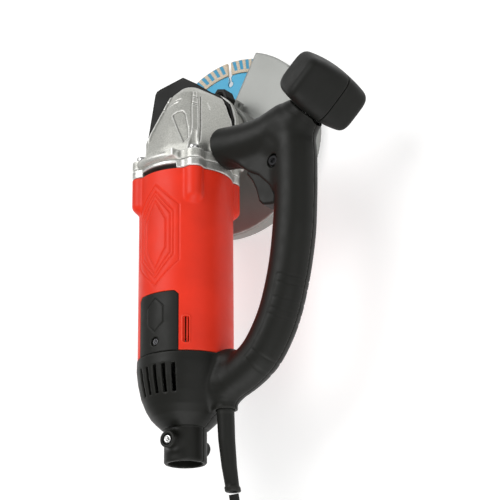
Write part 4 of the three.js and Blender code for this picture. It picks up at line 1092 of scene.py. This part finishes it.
def make_shells():
    shells = {"upper": ["handle_shell_upper", "rear_casing_upper"], "lower": ["handle_shell_lower"]}
    for sign, (side, nodes) in zip((1, -1), shells.items()):
        bottom, top = sorted((sign * -0.8, sign * 38.5))
        carve(f"handle_{side}", half_shell(sign), (-40, -277.2, bottom), (119, -9, top), 0.85, BLACK,
              "housing", nodes)
        screw(f"clamp_screw_{side}", (0, 0, sign), (0, CLAMP_Y, sign * 23.4), 3.1, 1.0, 2.05, 9.7, 1.5, STEEL,
              "housing", f"pole_clamp_screw_{side}")
    for n, (x, y, side) in enumerate(HANDLE_SCREWS, 1):
        screw(f"shell_screw_{n}", (0, 0, side), (x, y, side * 11.6), 4.15, 2.6, 1.85, 19, 1.8, INK, "housing",
              f"handle_screw_{n}")
    carve("trigger_paddle", trigger_field, (59, -92.5, -9), (89, -55, 9), 0.55, BLACK, "trigger_body",
          ["trigger"])


def make_knob():
    for sign, name, node in ((-1, "knob_drum", "knob_body"), (1, "knob_end", "knob_cap")):
        carve(name, knob_half(sign), (92, -42, -35), (159, 28, 35), 0.75, RUBBER, "palm_knob",
              [node])


def make_guard_and_disc():
    carve("guard_sheet", guard_field, (-46, -81, GROUND - 0.5), (80.5, 81, -46), 0.75, GUARD, "guard_body",
          ["guard"])
    carve("clamp_handle", lever_field, (0.5, 21, -47.2), (17.5, 38, -33.2), 0.45, BLACK, "clamp_lever",
          ["guard_lever"])
    carve("disc_core", core_field, (-64.5, -64.5, BLADE_Z - 1.8), (64.5, 64.5, BLADE_Z + 1.8), 0.6, BLUE,
          "spindle_set", ["diamond_blade"])
    rim = carve("disc_segments", segment_field, (-76, -76, BLADE_Z - 2.0), (76, 76, BLADE_Z + 2.0), 0.5,
                SEGMENT, "spindle_set", ["diamond_blade"])
    mesh = rim.data
    co = np.empty(len(mesh.vertices) * 3)
    mesh.vertices.foreach_get("co", co)
    x, y, z = ((co.reshape(-1, 3) - np.array(AXES)) / MM).T
    face = np.abs(z - BLADE_Z) > 0.4
    set_attribute(rim, "pocket", pocket_depth(x, y) * face)


make_head()
make_housing()
make_shells()
make_knob()
make_guard_and_disc()


# -------- stage
def area_light(name, place, target, size, power):
    data = bpy.data.lights.new(name, "AREA")
    data.shape, data.size, data.energy = "SQUARE", size, power
    lamp = bpy.data.objects.new(name, data)
    lamp.location = place
    lamp.rotation_mode = "QUATERNION"
    lamp.rotation_quaternion = (target - place).to_track_quat("-Z", "Y")
    bpy.context.scene.collection.objects.link(lamp)


FLOOR_HALF = 6  # metres
FLOOR_GLOW, WORLD_LIGHT = 0.52, 0.42
LIT = (40, -110, 0)  # where the lamps point
LAMPS = [("key", (-500, 500, 1300), 1.0, 15), ("fill", (1300, -300, 900), 1.4, 7),
         ("front", (300, -1500, 500), 1.2, 13)]  # name, place, side in metres, watts


def make_stage():
    mesh = bpy.data.meshes.new("floor")
    s = FLOOR_HALF
    mesh.from_pydata([(-s, -s, 0), (s, -s, 0), (s, s, 0), (-s, s, 0)], [], [(0, 1, 2, 3)])
    n = Nodes("floor_paper")
    cloud = n.spread(n.noise(3, 3), 0.3, 0.7)
    n.bump(n.noise(900, 2), 0.05, 0.0001)
    mesh.materials.append(n.done(n.mix(cloud, (0.56, 0.56, 0.555), (0.6, 0.6, 0.595)),
                                 n.spread(cloud, 0, 1, 0.75, 0.85), Emission_Color=(1, 1, 1, 1),
                                 Emission_Strength=FLOOR_GLOW))
    floor = bpy.data.objects.new("floor", mesh)
    bpy.context.scene.collection.objects.link(floor)
    world = bpy.data.worlds.new("studio")
    bpy.context.scene.world = world
    world.use_nodes = True
    sky = world.node_tree.nodes["Background"].inputs
    sky["Color"].default_value, sky["Strength"].default_value = (1, 1, 1, 1), WORLD_LIGHT
    for name, place, size, power in LAMPS:
        area_light(name, at(*place), at(*LIT), size, power)


make_stage()
